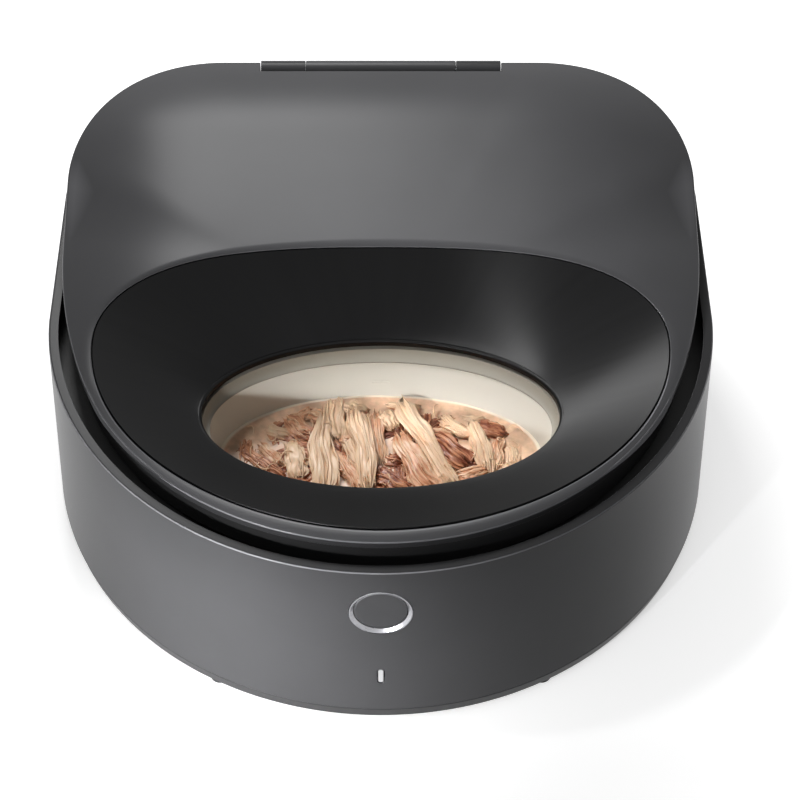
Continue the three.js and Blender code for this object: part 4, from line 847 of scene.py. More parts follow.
def broth_finish():
    """Hazy broth: clouds of tan and pink under a smooth surface, with a painted highlight as a
    pale line at its edge.
    """
    tone, s = tones().broth, bowls()
    finish = Finish("broth", Roughness=0.3, Specular=0.3, Subsurface_Weight=0.2,
                    Subsurface_Scale=0.004, **WET)
    factor = finish.maths("ADD", finish.maths("MULTIPLY", finish.noise(0.016, 4), 0.75),
                          finish.maths("MULTIPLY", finish.noise(0.003, 3), 0.25))
    haze = finish.blend(factor, (0.36, shaded(tone, 0.72)), (0.5, tone),
                        (0.62, shaded(tone, 1.25)))
    reach = finish.far(*finish.oval_place(s.half_width - BROTH_INSET,
                                          s.half_depth - BROTH_INSET))
    # The pale line at the edge is a painted highlight where the broth meets the bowl.
    meniscus_highlight = finish.add("ShaderNodeMix", {
        "Factor": finish.spread(reach, 0, 1, *MENISCUS_HIGHLIGHT_REACH), MIX_FIRST: haze,
        MIX_SECOND: (*MENISCUS_HIGHLIGHT_TONE, 1)}, data_type="RGBA")
    finish.show(meniscus_highlight.outputs[MIX_RESULT])
    finish.emboss(finish.noise(0.006, 2), 0.0004, 0.35)
    return finish.material


def lamp_finish():
    """The status light's milky lens, bright in its middle and grey at its edge."""
    finish = Finish("status_light", Roughness=0.3)
    part = finish.parted(finish.place)
    high = finish.maths("ABSOLUTE", finish.maths("SUBTRACT", part["Z"], LIGHT_Z))
    past = finish.maths("MAXIMUM", finish.maths(
        "SUBTRACT", high, LIGHT_HALF_HEIGHT - LIGHT_HALF_WIDTH), 0.0)
    away = finish.far(past, part["X"])
    away = finish.maths("ADD", away, finish.maths("MULTIPLY", finish.noise(0.003, 1), 0.0001))
    glow = finish.spread(away, 1, 0, LIGHT_HALF_WIDTH * 0.62, LIGHT_HALF_WIDTH * 0.98)
    finish.show(finish.blend(glow, (0.0, linear(70, 70, 72)), (1.0, linear(92, 93, 95))))
    finish.put(finish.shader, "Emission Color", finish.blend(
        glow, (0.0, linear(120, 122, 126)), (1.0, linear(255, 255, 255))))
    finish.put(finish.shader, "Emission Strength", finish.maths("MULTIPLY", glow, 0.56))
    return finish.material


def make_finishes():
    """Every finish of the frame's slots, by slot."""
    c = tones()
    return {
        # The body's satin paints a highlight on its edges.
        "body": satin("satin_anthracite", c.body, 0.33, 2.8),
        "black_satin": dish_satin(),
        "black_plastic": moulded("textured_black", c.black, 0.55, depth=0.00005),
        "grey_plastic": moulded("grey_plastic", linear(92, 90, 85), 0.5, depth=0.00004),
        "cream": moulded("cream_glaze", c.cream, 0.4, grain=0.0012, depth=0.00001, vary=0.03),
        "taupe": moulded("warm_grey_seal", c.taupe, 0.6, grain=0.0005, depth=0.00003,
                         vary=0.06),
        "chrome": brushed("polished_chrome", linear(172, 172, 176), 0.28, (0.2, 0.2, 0.2),
                          0.000002),
        "steel": brushed("steel", linear(168, 171, 176), 0.34, (1, 0.1, 1)),
        "aluminium": brushed("aluminium", linear(185, 188, 192), 0.4, (0.1, 1, 1)),
        "rubber": moulded("rubber", linear(34, 34, 34), 0.85, grain=0.0004, depth=0.00008,
                          specular=0.3),
        "foam": moulded("foam", linear(217, 217, 214), 0.95, grain=0.0008, depth=0.0003,
                        specular=0.2),
        "board": moulded("circuit_board", linear(31, 92, 58), 0.45, grain=0.003,
                         depth=0.00006, vary=0.25),
        "ceramic": moulded("ceramic", linear(238, 238, 234), 0.5, depth=0.00003, vary=0.04),
        "light": lamp_finish(),
        "nylon": moulded("nylon", linear(233, 230, 220), 0.45, depth=0.00003, vary=0.04,
                         specular=0.4),
    }


FINISHES = {}


def finish_of(slot):
    """The finish of a slot. All are made at the first call."""
    if not FINISHES:
        FINISHES.update(make_finishes())
    return FINISHES[slot]


def dress(name, solid, rides, slot, node):
    """Shows a solid in its slot's own finish, for a node of the frame."""
    return finish_piece(name, solid, rides, finish_of(slot), [node])


# Pieces of the base


def stadium(half_width, half_height, z, *stations):
    """An upright slot with round ends, along Y. Each station is an inset and a place."""
    straight = half_height - half_width
    rings = []
    for inset, y in stations:
        outline = np.vstack((arc(0, z + straight, half_width - inset, 0, 180, 24),
                             arc(0, z - straight, half_width - inset, 180, 360, 24)))
        rings.append(np.column_stack((outline[:, 0], np.full(len(outline), y),
                                      outline[:, 1])))
    return skin(rings)


def post_places():
    """Middles of the four screw posts, front left first."""
    s = body()
    front, back = math.radians(60), math.radians(45)
    reach, corner = s.radius - POST_INSET, s.corner - POST_INSET
    corner_x, corner_y = base_corner()
    places = [(reach * math.cos(front), -reach * math.sin(front)),
              (corner_x + corner * math.cos(back), corner_y + corner * math.sin(back))]
    return [(side * x, y) for x, y in places for side in (-1, 1)]


def at_posts(radius, start, end, steps=64):
    """One round bar at each screw post."""
    return [rod(radius, (x, y, 0), start, end, steps=steps) for x, y in post_places()]


def foot_places():
    """Middles of the four feet, front left first."""
    return [(LEG_X, LEG_Y), (-LEG_X, LEG_Y), (LEG_X, -LEG_Y), (-LEG_X, -LEG_Y)]


def base_shell():
    """The wall with its rolled rim, screw posts, button pegs, hinge lugs and openings."""
    s = body()
    under = s.rim_top - s.rim_depth
    profile = rounded([
        (0, s.bottom), (0, s.rim_top), (s.rim_width, s.rim_top), (s.rim_width, under),
        (s.wall, under - s.rim_width + s.wall), (s.wall, s.bottom)],
        [0.0003, s.rim_round, 0.0001, 0.0004, 0.0006, 0.0002])
    mesh = mesh_of("base_shell", skin([level(body_outline(i), z) for i, z in profile], True))
    post_height, pilot_top = 0.024, 0.0172
    posts = at_posts(POST_RADIUS, s.bottom, s.bottom + post_height)
    inner = s.wall - s.radius
    peg_x, peg_radius, peg_length = 0.02, 0.0022, 0.0108
    pegs = [rod(peg_radius, (x, 0, BUTTON_Z), inner, inner + peg_length, "Y")
            for x in (-peg_x, peg_x)]
    lugs = [hinge_lug(-LUG_OUTER, -LUG_INNER), hinge_lug(LUG_INNER, LUG_OUTER)]
    mesh = combine(mesh, "UNION", joined(posts + pegs + lugs))
    front = (-s.radius - OVERRUN, -s.radius + s.wall + OVERRUN)
    back = (s.back - s.wall - OVERRUN, s.back + OVERRUN)
    slot_half, slot_low, slot_high, slot_span = 0.0015, 0.016, 0.032, 0.042
    slots = [block((x - slot_half, back[0], slot_low), (x + slot_half, back[1], slot_high))
             for x in np.linspace(-slot_span, slot_span, 13)]
    jack_radius, pin_reach = 0.0055, 0.07
    holes = [
        rod(RING_RADIUS + SEAT_GAP, (0, 0, BUTTON_Z), *front, "Y", steps=96),
        stadium(LIGHT_HALF_WIDTH + SEAT_GAP, LIGHT_HALF_HEIGHT + SEAT_GAP, LIGHT_Z,
                *((0, y) for y in front)),
        rod(jack_radius, (JACK.x, 0, JACK.z), *back, "Y"),
        rod(PIN_RADIUS + SEAT_GAP, (0, HINGE_Y, HINGE_Z), -pin_reach, pin_reach, "X"),
    ]
    pilots = at_posts(PILOT_RADIUS, s.bottom - OVERRUN, pilot_top, 24)
    return combine(mesh, "DIFFERENCE", joined(holes + slots + pilots))


def hinge_lug(start, end):
    """A lug that rises from the rim to hold the hinge pin, round on top."""
    s = body()
    bottom = s.rim_top - s.rim_depth
    outline = np.vstack((
        ((HINGE_Y + 0.0003, bottom), (s.back - 0.0003, bottom)),
        arc(HINGE_Y, HINGE_Z, KNUCKLE_RADIUS, 0, 270, 36)))
    return skin([np.column_stack((np.full(len(outline), x), outline)) for x in (start, end)])


def base_ring():
    """The bottom ring and floor with bosses, standoffs, the shaft's pivot and openings."""
    s = body()
    bottom, top = PLATE_LOW.z, PARTING_Z
    floor = bottom + s.plate_floor
    wall = s.plate_wall + s.plate_taper
    profile = rounded([
        (s.plate_taper + s.plate_chamfer, bottom), (s.plate_taper, bottom + s.plate_chamfer),
        (0, top), (wall, top), (wall, floor)],
        [0, 0.001, 0.0004, 0.0003, 0], closed=False)
    mesh = mesh_of("base_ring", skin([level(body_outline(i), z) for i, z in profile]))
    bosses = at_posts(POST_RADIUS, bottom + 0.0006, top)
    standoff, apart_x, apart_y = 0.003, 0.028, 0.022
    standoffs = [rod(standoff, (BOARD.x + x, BOARD.y + y, 0), bottom + 0.001,
                     BOARD_LOW.z - SEAT_GAP, steps=32)
                 for x in (-apart_x, apart_x) for y in (-apart_y, apart_y)]
    pivot = rod(0.0086, (0, HUB_Y, 0), bottom + 0.001, HUB_LOW.z - SEAT_GAP, edge=0.0005)
    mesh = combine(mesh, "UNION", joined(bosses + standoffs + [pivot]))
    head_radius, head_top = 0.0035, 0.0042
    heads = at_posts(head_radius, bottom - OVERRUN, head_top, 32)
    shafts = at_posts(PILOT_RADIUS, bottom, top + OVERRUN, 24)
    recesses = [rod(LEG_HIGH.x - LEG_X + SEAT_GAP, (x, y, 0), bottom - OVERRUN,
                    LEG_HIGH.z + SEAT_GAP) for x, y in foot_places()]
    duct_y, duct, slot_half = (FAN_LOW.y + FAN_HIGH.y) / 2, 0.028, 0.0015
    grille = []
    for i in range(9):
        x = (i - 4) * 2 * duct / 10
        half = math.sqrt(duct ** 2 - x ** 2)
        grille.append(block((x - slot_half, duct_y - half, bottom - OVERRUN),
                            (x + slot_half, duct_y + half, floor + OVERRUN)))
    return combine(mesh, "DIFFERENCE", joined(heads + recesses + grille), joined(shafts))


def foot_solid(x, y):
    """A pad with a soft edge and a shallow ring in its sole."""
    radius, top, hollow = (LEG_HIGH.x - LEG_LOW.x) / 2, LEG_HIGH.z, 0.0003
    sole = radius - 0.0045
    profile = rounded([(radius * 0.45, hollow), (radius * 0.5, 0), (sole, 0), (radius, top)],
                      [0, 0.0002, 0.0004, 0], closed=False)
    return turned([(radius * 0.2, hollow)] + profile, (x, y, 0), steps=64)


def screw_solid(x, y):
    """A screw with a rounded head and a cross in it."""
    low, high, shaft = SCREW_LOW.z, SCREW_HIGH.z, 0.0015
    head, radius = low + 0.0018, (SCREW_HIGH.x - SCREW_LOW.x) / 2
    profile = rounded([(radius * 0.6, low), (radius, low), (radius, head), (shaft, head),
                       (shaft, high)], [0, 0.0005, 0.0002, 0, 0], closed=False)
    mesh = mesh_of("base_screw", turned(profile, (x, y, 0), steps=48))
    cross_depth, long_half, short_half = 0.0009, 0.0015, 0.0006
    bars = [block((x - a, y - b, low - OVERRUN), (x + a, y + b, low + cross_depth))
            for a, b in ((long_half, short_half), (short_half, long_half))]
    return combine(mesh, "DIFFERENCE", *bars)


def well_liner():
    """The flange below the lid's groove, and the well of the tray."""
    s = body()
    top, wall = LINER_HIGH.z, 0.0025
    well = GASKET_HIGH.x - 0.009
    floor = LINER_LOW.z + wall
    edge = body_outline(s.wall + SEAT_GAP)
    mesh = mesh_of("well_liner", skin([level(edge, top - wall), level(edge, top)]))
    outer = [(well + wall, floor - wall), (well + wall, top - wall / 2)]
    mesh = combine(mesh, "UNION", turned(outer, (0, HUB_Y, 0), steps=160))
    hollow = rounded([(0.03, floor), (well, floor), (well, top), (well + 0.001, top + 0.001)],
                     [0, 0.004, 0.0012, 0], 6, closed=False)
    hub_hole = rod(HUB_HOLE, (0, HUB_Y, 0), floor - wall - OVERRUN, floor + OVERRUN)
    mesh = combine(mesh, "DIFFERENCE", turned(hollow, (0, HUB_Y, 0), steps=160), hub_hole)
    notch_half, notch_depth = 0.0145, 0.0097
    return combine(mesh, "DIFFERENCE", block(
        (-notch_half, -s.radius, top - wall - OVERRUN),
        (notch_half, -s.radius + notch_depth, top + OVERRUN)))


# Pieces of the lid


def quarter(steps):
    """How far in and how far down a quarter round has come at each step, from 0 to 1."""
    for k in range(steps + 1):
        turn = math.radians(90 * k / steps)
        yield 1 - math.sin(turn), 1 - math.cos(turn)


def hinge_notch(grow, low, high):
    """The block of the lid's notch for the hinge, wider by what it grows at three sides."""
    return block((-NOTCH_HALF - grow, NOTCH_Y - grow, low),
                 (NOTCH_HALF + grow, lid().back + OVERRUN, high))


def hood_mesh():
    """The hood and its narrow rim, hollow below, with the hinge's notch and knuckle."""
    s = lid()
    inner, outer = bevelled_outline(1)[0], lid_outline(s.edge_round)
    span = np.linalg.norm(outer - inner, axis=1)
    start = s.soft_width / span
    reaches = [i * s.soft_width / 7 / span for i in range(8)]
    reaches += [start + (1 - start) * i / 24 for i in range(1, 25)]
    top = [lid_top_ring(reach, 1, s.edge_round, 0, s.soft_drop) for reach in reaches]
    corner = []
    for inwards, down in list(quarter(6))[1:]:
        outline = lid_outline(s.edge_round * inwards)
        corner.append(np.column_stack((outline, edge_height(outline[:, 1])
                                       - s.edge_round * down)))
    foot = rounded([(0, s.bottom + 0.002), (0, s.bottom), (s.side_wall, s.bottom),
                    (s.side_wall, s.bottom + 0.002)], 0.0005, 4, closed=False)[1:-1]
    side = [level(lid_outline(i), z) for i, z in foot]
    under = [lid_top_ring(1 - i / 8, 0, s.side_wall, s.top_wall) for i in range(9)]
    # The bevel's rings, from below: each a part of its width and a drop, as a share of it
    lip = []
    width = bevelled_outline(1)[1]
    for part, drop in ((0, 1.3), (0, 0.85), (0.06, 0.74), (0.94, 0.06)):
        mouth = bevelled_outline(part)[0]
        lip.append(np.column_stack((mouth, dish_edge_height(mouth) - s.soft_drop
                                    - drop * width)))
    mesh = mesh_of("hood", skin(top + corner + side + under + lip, True))
    whole = skin([level(lid_outline(0), s.bottom)] + corner[::-1] + top[::-1])
    high = HINGE_Z + 2 * KNUCKLE_RADIUS
    wall = mesh_of("notch_wall", hinge_notch(NOTCH_WALL, s.bottom + 0.0002, high))
    mesh = combine(mesh, "UNION", combine(wall, "INTERSECT", whole))
    mesh = combine(mesh, "DIFFERENCE", hinge_notch(0, s.bottom - OVERRUN, high))
    edge = 0.0006
    knuckle = rod(KNUCKLE_RADIUS, (0, HINGE_Y, HINGE_Z), -KNUCKLE_END, KNUCKLE_END, "X",
                  edge=edge, steps=72)
    arm = block((edge - KNUCKLE_END, NOTCH_Y - NOTCH_WALL / 2, HINGE_Z - KNUCKLE_RADIUS + 0.0002),
                (KNUCKLE_END - edge, HINGE_Y, HINGE_Z))
    bore = rod(PIN_RADIUS + SEAT_GAP, (0, HINGE_Y, HINGE_Z), -LUG_OUTER, LUG_OUTER, "X")
    mesh = combine(mesh, "UNION", arm, knuckle)
    return combine(mesh, "DIFFERENCE", bore)


def dish_ring(reach, lower):
    """A ring of the dish, from its edge at 0 to the window's edge at 1."""
    s = lid()
    outer = dish_outline(-s.dish_gap)
    inner = window_outline(0)
    z = s.window_edge + (dish_edge_height(outer) - s.dish_drop - s.window_edge) \
        * (1 - reach) ** s.dish_curve - lower
    return np.column_stack((outer + (inner - outer) * reach, z))


def flange_ring(reach, lower):
    """A ring that follows the lid's underside outwards from its opening."""
    s = lid()
    start = lid_top_ring(0, 0, s.side_wall, s.top_wall)
    towards = lid_top_ring(0.5, 0, s.side_wall, s.top_wall)
    span = np.linalg.norm((towards - start)[:, :2], axis=1)[:, None]
    ring = start + (towards - start) * reach / span
    ring[:, 2] -= SEAT_GAP + lower
    return ring


def dish_solid():
    """The dish, from its edge in the lid down to the window's lip, with a seat under the lid."""
    s = lid()
    reaches = np.concatenate(((0, 0.006), np.linspace(0.02, 0.965, 26)))
    edge, edge_drop, lip_round = 0.0016, 0.0004, 0.0003
    top = [dish_ring(reach, edge_drop if reach == 0 else 0) for reach in reaches]
    lip = [level(window_outline(edge * inwards), s.window_edge + edge_drop - edge * down)
           for inwards, down in quarter(6)]
    foot = rounded([(0, s.lip_bottom + 0.001), (0, s.lip_bottom), (s.lip, s.lip_bottom),
                    (s.lip, s.lip_bottom + 0.001)], lip_round, 3, closed=False)[1:-1]
    lower_lip = [level(window_outline(margin), z) for margin, z in foot]
    back = [level(window_outline(s.lip), s.window_edge - s.lip / 2)]
    under = [dish_ring(reach, s.dish_wall) for reach in (0.9, 0.75, 0.6, 0.45, 0.3, 0.15)]
    seat, seat_depth = 0.0006, 0.001
    flange = [flange_ring(-s.dish_gap - s.dish_wall, seat_depth),
              flange_ring(seat, seat_depth), flange_ring(seat, 0), flange_ring(-s.dish_gap, 0)]
    return skin(top + lip + lower_lip + back + under + flange, True)


def seal_solid():
    """The window's seal: upright outside, and a hollow curve inside that ends in a thin foot."""
    top, bottom, foot = SEAL_HIGH.z, SEAL_LOW.z, 0.0008
    face = [(-SEAL_TAPER * (1 - math.cos(t)) ** 0.8, top - (top - bottom - foot) * math.sin(t))
            for t in np.radians(np.linspace(90, 0, 10))]
    profile = rounded([(SEAL_WALL, top), (SEAL_WALL, bottom), (-SEAL_TAPER, bottom)] + face,
                      [0, 0.0003, 0.0006] + [0.0] * len(face), 5)
    return skin([level(window_outline(margin), z) for margin, z in profile], True)


def lid_floor():
    """The black pan that closes the lid from below, open round the window and the hinge."""
    s = lid()
    bottom, top, floor, wall, edge = PAN_LOW.z, PAN_HIGH.z, SEAL_HIGH.z, 0.002, 0.0008
    profile = rounded([(0, bottom), (0, top), (wall, top), (wall, floor)],
                      [0, 0.0004, 0.0004, 0], closed=False)
    profile = [(edge, bottom), (0, bottom + edge)] + profile[1:]
    mesh = mesh_of("lid_floor", skin([level(lid_outline(PAN_INSET + i), z)
                                      for i, z in profile]))
    outline = lid_outline(PAN_INSET)
    under = s.bottom - SEAT_GAP
    keep = combine(mesh_of("keep", skin([level(outline, bottom), level(outline, top)])),
                   "INTERSECT", hinge_notch(NOTCH_WALL, bottom + 0.0001, under))
    mesh = combine(mesh, "DIFFERENCE", block(
        (-NOTCH_HALF - NOTCH_WALL - OVERRUN, NOTCH_Y - NOTCH_WALL - SEAT_GAP, under),
        (NOTCH_HALF + NOTCH_WALL + OVERRUN, s.back + OVERRUN, top + OVERRUN)))
    mesh = combine(mesh, "UNION", keep)
    mesh = combine(mesh, "DIFFERENCE", hinge_notch(0, bottom - OVERRUN, top + OVERRUN))
    hole = skin([level(window_outline(SEAL_WALL + SEAT_GAP), z)
                 for z in (bottom - OVERRUN, floor + OVERRUN)])
    return combine(mesh, "DIFFERENCE", hole)


def gasket_solid():
    """The soft ring that closes the lid's floor on the well."""
    inner, outer = GASKET_HIGH.x - 0.0045, GASKET_HIGH.x
    low, high = GASKET_LOW.z, GASKET_HIGH.z
    profile = rounded([(inner, low), (outer, low), (outer, high), (inner, high)], 0.0007)
    return turned(profile, (0, HUB_Y, 0), steps=192, looped=True)


# The tray and the food


def bowl_profile():
    """A bowl's inset and height from the middle of its floor up to its lip."""
    s = bowls()
    floor, top = TRAY_LOW.z + 0.002, TRAY_HIGH.z
    inner = rounded([(0.03, floor), (0.013, floor), (0.007, 0.054), (BROTH_INSET, 0.072),
                     (0, top)], [0, 0.012, 0.02, 0.04, 0], 8, closed=False)
    lip = s.lip_round
    straight = [(inset, z) for inset, z in inner if z < top - lip - 0.0005]
    rim = [(-lip * (1 - math.cos(t)), top - lip + lip * math.sin(t))
           for t in np.radians(np.linspace(0, 90, 7))]
    return straight + rim


# The level mark of each bowl: its place and size, and how far it stands out of the wall
MARK_HEIGHT, MARK_HALF_WIDTH, MARK_HALF_LINE = 0.0795, 0.0042, 0.0004
MARK_PROUD, MARK_END_PROUD, MARK_ROOT = 0.0003, 0.0001, 0.0008


def level_marks():
    """A short raised line on the back wall of each bowl."""
    s = bowls()
    heights = sorted((z, inset) for inset, z in bowl_profile())
    bars = []
    for turn in bowl_turns():
        rings = []
        for x in np.linspace(-MARK_HALF_WIDTH, MARK_HALF_WIDTH, 13):
            edge = MARK_PROUD if abs(x) < MARK_HALF_WIDTH * 0.99 else MARK_END_PROUD
            ring = []
            for proud, dz in ((-MARK_ROOT, -1), (edge, -0.9), (edge, 0.9), (-MARK_ROOT, 1)):
                z = MARK_HEIGHT + dz * MARK_HALF_LINE
                inset = float(np.interp(z, *zip(*heights)))
                bow = math.sqrt(1 - (x / (s.half_width - inset)) ** 2)
                y = WINDOW_Y - HUB_Y + (s.half_depth - inset) * bow - proud
                ring.append((*about_hub(x, y, turn), z))
            rings.append(ring)
        bars.append(skin(rings))
    return joined(bars)


def bowl_turns():
    """How far each bowl is turned about the tray's shaft."""
    count = bowls().count
    return [2 * math.pi * i / count for i in range(count)]


def tray_mesh():
    """The round tray with its skirt, its bowls and their marks, and the socket of its shaft."""
    s = bowls()
    top, under, radius = TRAY_HIGH.z, TRAY_HIGH.z - s.deck, s.radius
    inside = radius - s.wall
    profile = rounded([
        (0.02, top), (radius, top), (radius, top - s.skirt), (inside, top - s.skirt),
        (inside, under), (0.02, under)],
        [0, 0.0009, 0.0005, 0.0005, 0.001, 0], closed=False)
    mesh = mesh_of("bowl_tray", turned(profile, (0, HUB_Y, 0), steps=192))
    hollow, floor_end = bowl_profile(), 0.06
    shell = [(inset - s.wall, z - (s.wall if z < floor_end else 0)) for inset, z in hollow
             if z < under - 0.001]
    shell.append((-s.wall, top - s.deck / 2))
    hollow.append((-s.lip_round, top + OVERRUN))
    for turn in bowl_turns():
        mesh = combine(mesh, "UNION", skin([level(bowl_outline(inset, turn), z)
                                            for inset, z in shell]))
    socket = rod(0.0166, (0, HUB_Y, 0), TRAY_LOW.z, top - s.deck / 2)
    mesh = combine(mesh, "UNION", socket)
    for turn in bowl_turns():
        mesh = combine(mesh, "DIFFERENCE", skin([level(bowl_outline(inset, turn), z)
                                                 for inset, z in hollow]))
    mesh = combine(mesh, "UNION", level_marks())
    hub = rod(0.0133, (0, HUB_Y, 0), TRAY_LOW.z - OVERRUN, HUB_HIGH.z + SEAT_GAP, steps=6)
    core = rod(0.0094, (0, HUB_Y, 0), HUB_HIGH.z - 0.003, top - 2 * s.deck, steps=48)
    return combine(mesh, "DIFFERENCE", hub, core)


# Each piece of food: where it starts and ends across and along the bowl, its width at both
# ends, how high it lies above the broth at both ends, and its bend, all in millimetres
PALE_SHREDS = (
    (-25.5, -29, -26, -77, 6, 14, 2, 3, 1),
    (-20.5, -21, -19, -44, 9, 7, 2, 2, 1),
    (-15, -23, -6, -26, 7, 5, 2, 1, 1),
    (-21, -24, -11, -31, 8, 6, 1, 1, -1),
    (-10.5, -28, -6, -76, 11, 8, 3, 4, -1),
    (-15, -38, -10, -62, 7, 5, 2, 2, 1),
    (9, -25, 32, -73, 9, 9, 4, 3, 0),
    (3, -23.5, 18, -24.5, 3, 3, 3, 3, 1),
    (1, -28, 7, -38, 8, 8, 1, 2, 0),
    (29, -32, 43, -44, 7, 6, 2, 3, 1),
    (43, -37, 48, -64, 8, 9, 3, 2, -1),
    (38, -31, 48, -32, 4, 4, 1, 1, 1),
    (60, -49, 63, -60, 6, 5, 1, 1, 1),
    (-39.5, -46, -38, -69, 8, 9, 1, 2, 1),
    (-53, -36, -43, -42, 7, 7, 0, 0, 1),
)
PINK_SHREDS = (
    (8, -43, 23, -77, 6, 16, 2, 3, 1),
    (-2, -29, 1.5, -58, 8, 6, 2, 1, 1),
    (-18.5, -54, -11, -76, 7, 6, 1, 2, 0),
    (-18.5, -45, -13, -49, 4, 4, 3, 3, 0),
    (-44, -32, -31, -45, 8, 8, 1, 1, 1),
    (-34, -29, -26, -34, 8, 7, 1, 1, -1),
    (-42, -30, -33, -25, 5, 5, 0, 1, 1),
    (35, -67, 50, -62, 6, 5, 1, 1, 1),
    (23, -40, 34, -42, 3, 3, 2, 2, 0),
    (-56, -48, -46, -60, 6, 5, 1, 1, 1),
    (55, -45, 53, -62, 7, 6, 1, 1, 1),
    (-22, -74, -8, -88, 12, 10, 0, -1, 1),
    (24, -74, 10, -88, 12, 10, 0, -1, -1),
)
BROWN_SHREDS = (
    (23, -43, 41, -61, 10, 13, 1, 2, 1),
    (46, -34, 58, -41, 9, 8, 1, 1, 1),
    (-62, -50, -45, -67, 5, 6, 1, 1, 2),
    (-64, -53, -52, -63, 5, 4, 1, 0, -1),
    (-16, -46, -14, -66, 9, 8, -2, -2, 0),
    (-2, -64, 12, -76, 9, 7, 0, 1, 1),
    (-40, -37, -30, -48, 9, 7, 0, 1, -1),
    (-2, -74, 4, -90, 12, 9, 0, -1, 1),
    (38, -66, 46, -80, 11, 8, 0, -1, 1),
    (-34, -70, -42, -80, 11, 8, 0, -1, 1),
)
UNDER_COUNT = 60
UNDER_OVAL = (56, 66, 33)        # where their middles lie: how far in front, and half widths
UNDER_END_OVAL = (55, 70, 36)    # and where their ends stay
MM = 0.001


def wander(*place):
    """A smooth random number from -1 to 1 that belongs to a place."""
    return noise.noise(Vector(place))


def shred(start, end, widths, height, bend, twist, seed):
    """A torn piece of meat with creases along its fibres, its maps, and its line of middles."""
    start, end = Vector(start), Vector(end)
    run = end - start
    forward = run.normalized()
    side = forward.cross(Vector((0, 0, 1))).normalized()
    up = side.cross(forward)
    along, around = 46, 56
    points, fibres, shades_and_tones, middles = [], [], [], []
    for i in range(along + 1):
        t = i / along
        arch, from_middle = math.sin(math.pi * t), abs(2 * t - 1)
        width = (widths[0] * (1 - t) + widths[1] * t) * (1 + 0.3 * wander(t * 4, seed, 0.5))
        full = max(0.3, (1 - from_middle ** 7)) ** 0.5
        sway = width * 0.25 * wander(t * 2.5, 3.5, seed)
        middle = start + run * t + side * (bend * arch + sway) + up * height * 0.3 * arch
        middles.append((middle, side * width / 2, up * height / 2))
        for k in range(around):
            angle = 2 * math.pi * k / around
            turn = angle + twist * (t - 0.5)
            x, y = math.cos(angle), math.sin(angle)
            ridge = abs(wander(x * 2.6, y * 2.6, t * 1.1 + seed))
            fine = abs(wander(x * 7, y * 7, t * 2 + seed * 3))
            lump = wander(x, y, t * 4.5 + seed * 7)
            torn = wander(x * 3, y * 3, seed * 5) + 0.6 * wander(x * 9, y * 9, seed)
            reach = full * (0.78 + 0.65 * ridge + 0.22 * fine + 0.34 * lump)
            ragged = min(run.length * 0.22, 0.006) * torn * from_middle ** 5
            points.append(middle + side * (width / 2 * reach * math.cos(turn))
                          + up * (height / 2 * reach * math.sin(turn)) + forward * ragged)
            fibres.append((t * run.length + seed, k / around * (width + height) * 1.5))
            # Its share of painted crease shade: darker where the surface sinks between ridges,
            # lighter on them; then a tone for the whole piece.
            shades_and_tones.append((min(1.0, 1.1 * ridge + 1.6 * fine + 0.25), seed % 1))
    faces = ring_faces(along + 1, around)
    return ([tuple(p) for p in points], faces, fibres, shades_and_tones), middles


def curve_through(points, steps=5):
    """A smooth line through the points."""
    points = [Vector(p) for p in points]
    last, path = len(points) - 1, []
    for i in range(last):
        before, after = points[max(0, i - 1)], points[min(last, i + 2)]
        a, b = points[i], points[i + 1]
        for k in range(steps):
            t = k / steps
            path.append(0.5 * (2 * a + (b - before) * t
                               + (2 * before - 5 * a + 4 * b - after) * t ** 2
                               + (3 * a - before - 3 * b + after) * t ** 3))
    return path + [points[-1]]


def thread(points, radius, seed):
    """A thin strand along a smooth line through the points, thinner at its ends."""
    path = curve_through(points)
    last, around = len(path) - 1, 6
    verts, fibres = [], []
    for i, place in enumerate(path):
        ahead = (path[min(i + 1, last)] - path[max(i - 1, 0)]).normalized()
        side = ahead.cross(Vector((0, 0, 1)))
        side = side.normalized() if side.length > 1e-6 else Vector((1, 0, 0))
        up = side.cross(ahead)
        size = radius * (0.3 + 0.7 * math.sin(math.pi * i / last) ** 0.6)
        for k in range(around):
            angle = 2 * math.pi * k / around
            verts.append(tuple(place + side * size * math.cos(angle)
                               + up * size * math.sin(angle)))
            fibres.append((i * 0.001 + seed, k * 0.0004))
    # A strand gets one light, even share of the painted crease shade, and a tone of its own.
    return verts, ring_faces(len(path), around), fibres, [(0.8, seed % 1)] * len(verts)


def loose_fibres(middles, count, rng):
    """Fibres that lie along a torn piece and stick out at its ends."""
    made = []
    last, jitter, droop, proud = len(middles) - 1, 0.0003, 0.012, 1.04
    for _ in range(count):
        angle = math.radians(rng.uniform(15, 165))
        first, final = rng.uniform(-0.1, 0.4), rng.uniform(0.6, 1.1)
        points = []
        for k in range(7):
            t = first + (final - first) * k / 6
            within = min(1, max(0, t))
            middle, side, up = middles[round(within * last)]
            beyond = t - within
            run = (middles[last][0] - middles[0][0]) * beyond
            reach = proud - 0.9 * abs(beyond)
            points.append(middle + run + side * math.cos(angle) * reach
                          + up * math.sin(angle) * reach
                          + Vector((rng.uniform(-1, 1), rng.uniform(-1, 1), 0)) * jitter
                          - Vector((0, 0, abs(beyond) * droop)))
            angle += rng.uniform(-0.06, 0.06)
        made.append(thread(points, rng.uniform(0.0003, 0.00065), rng.uniform(1, 90)))
    return made


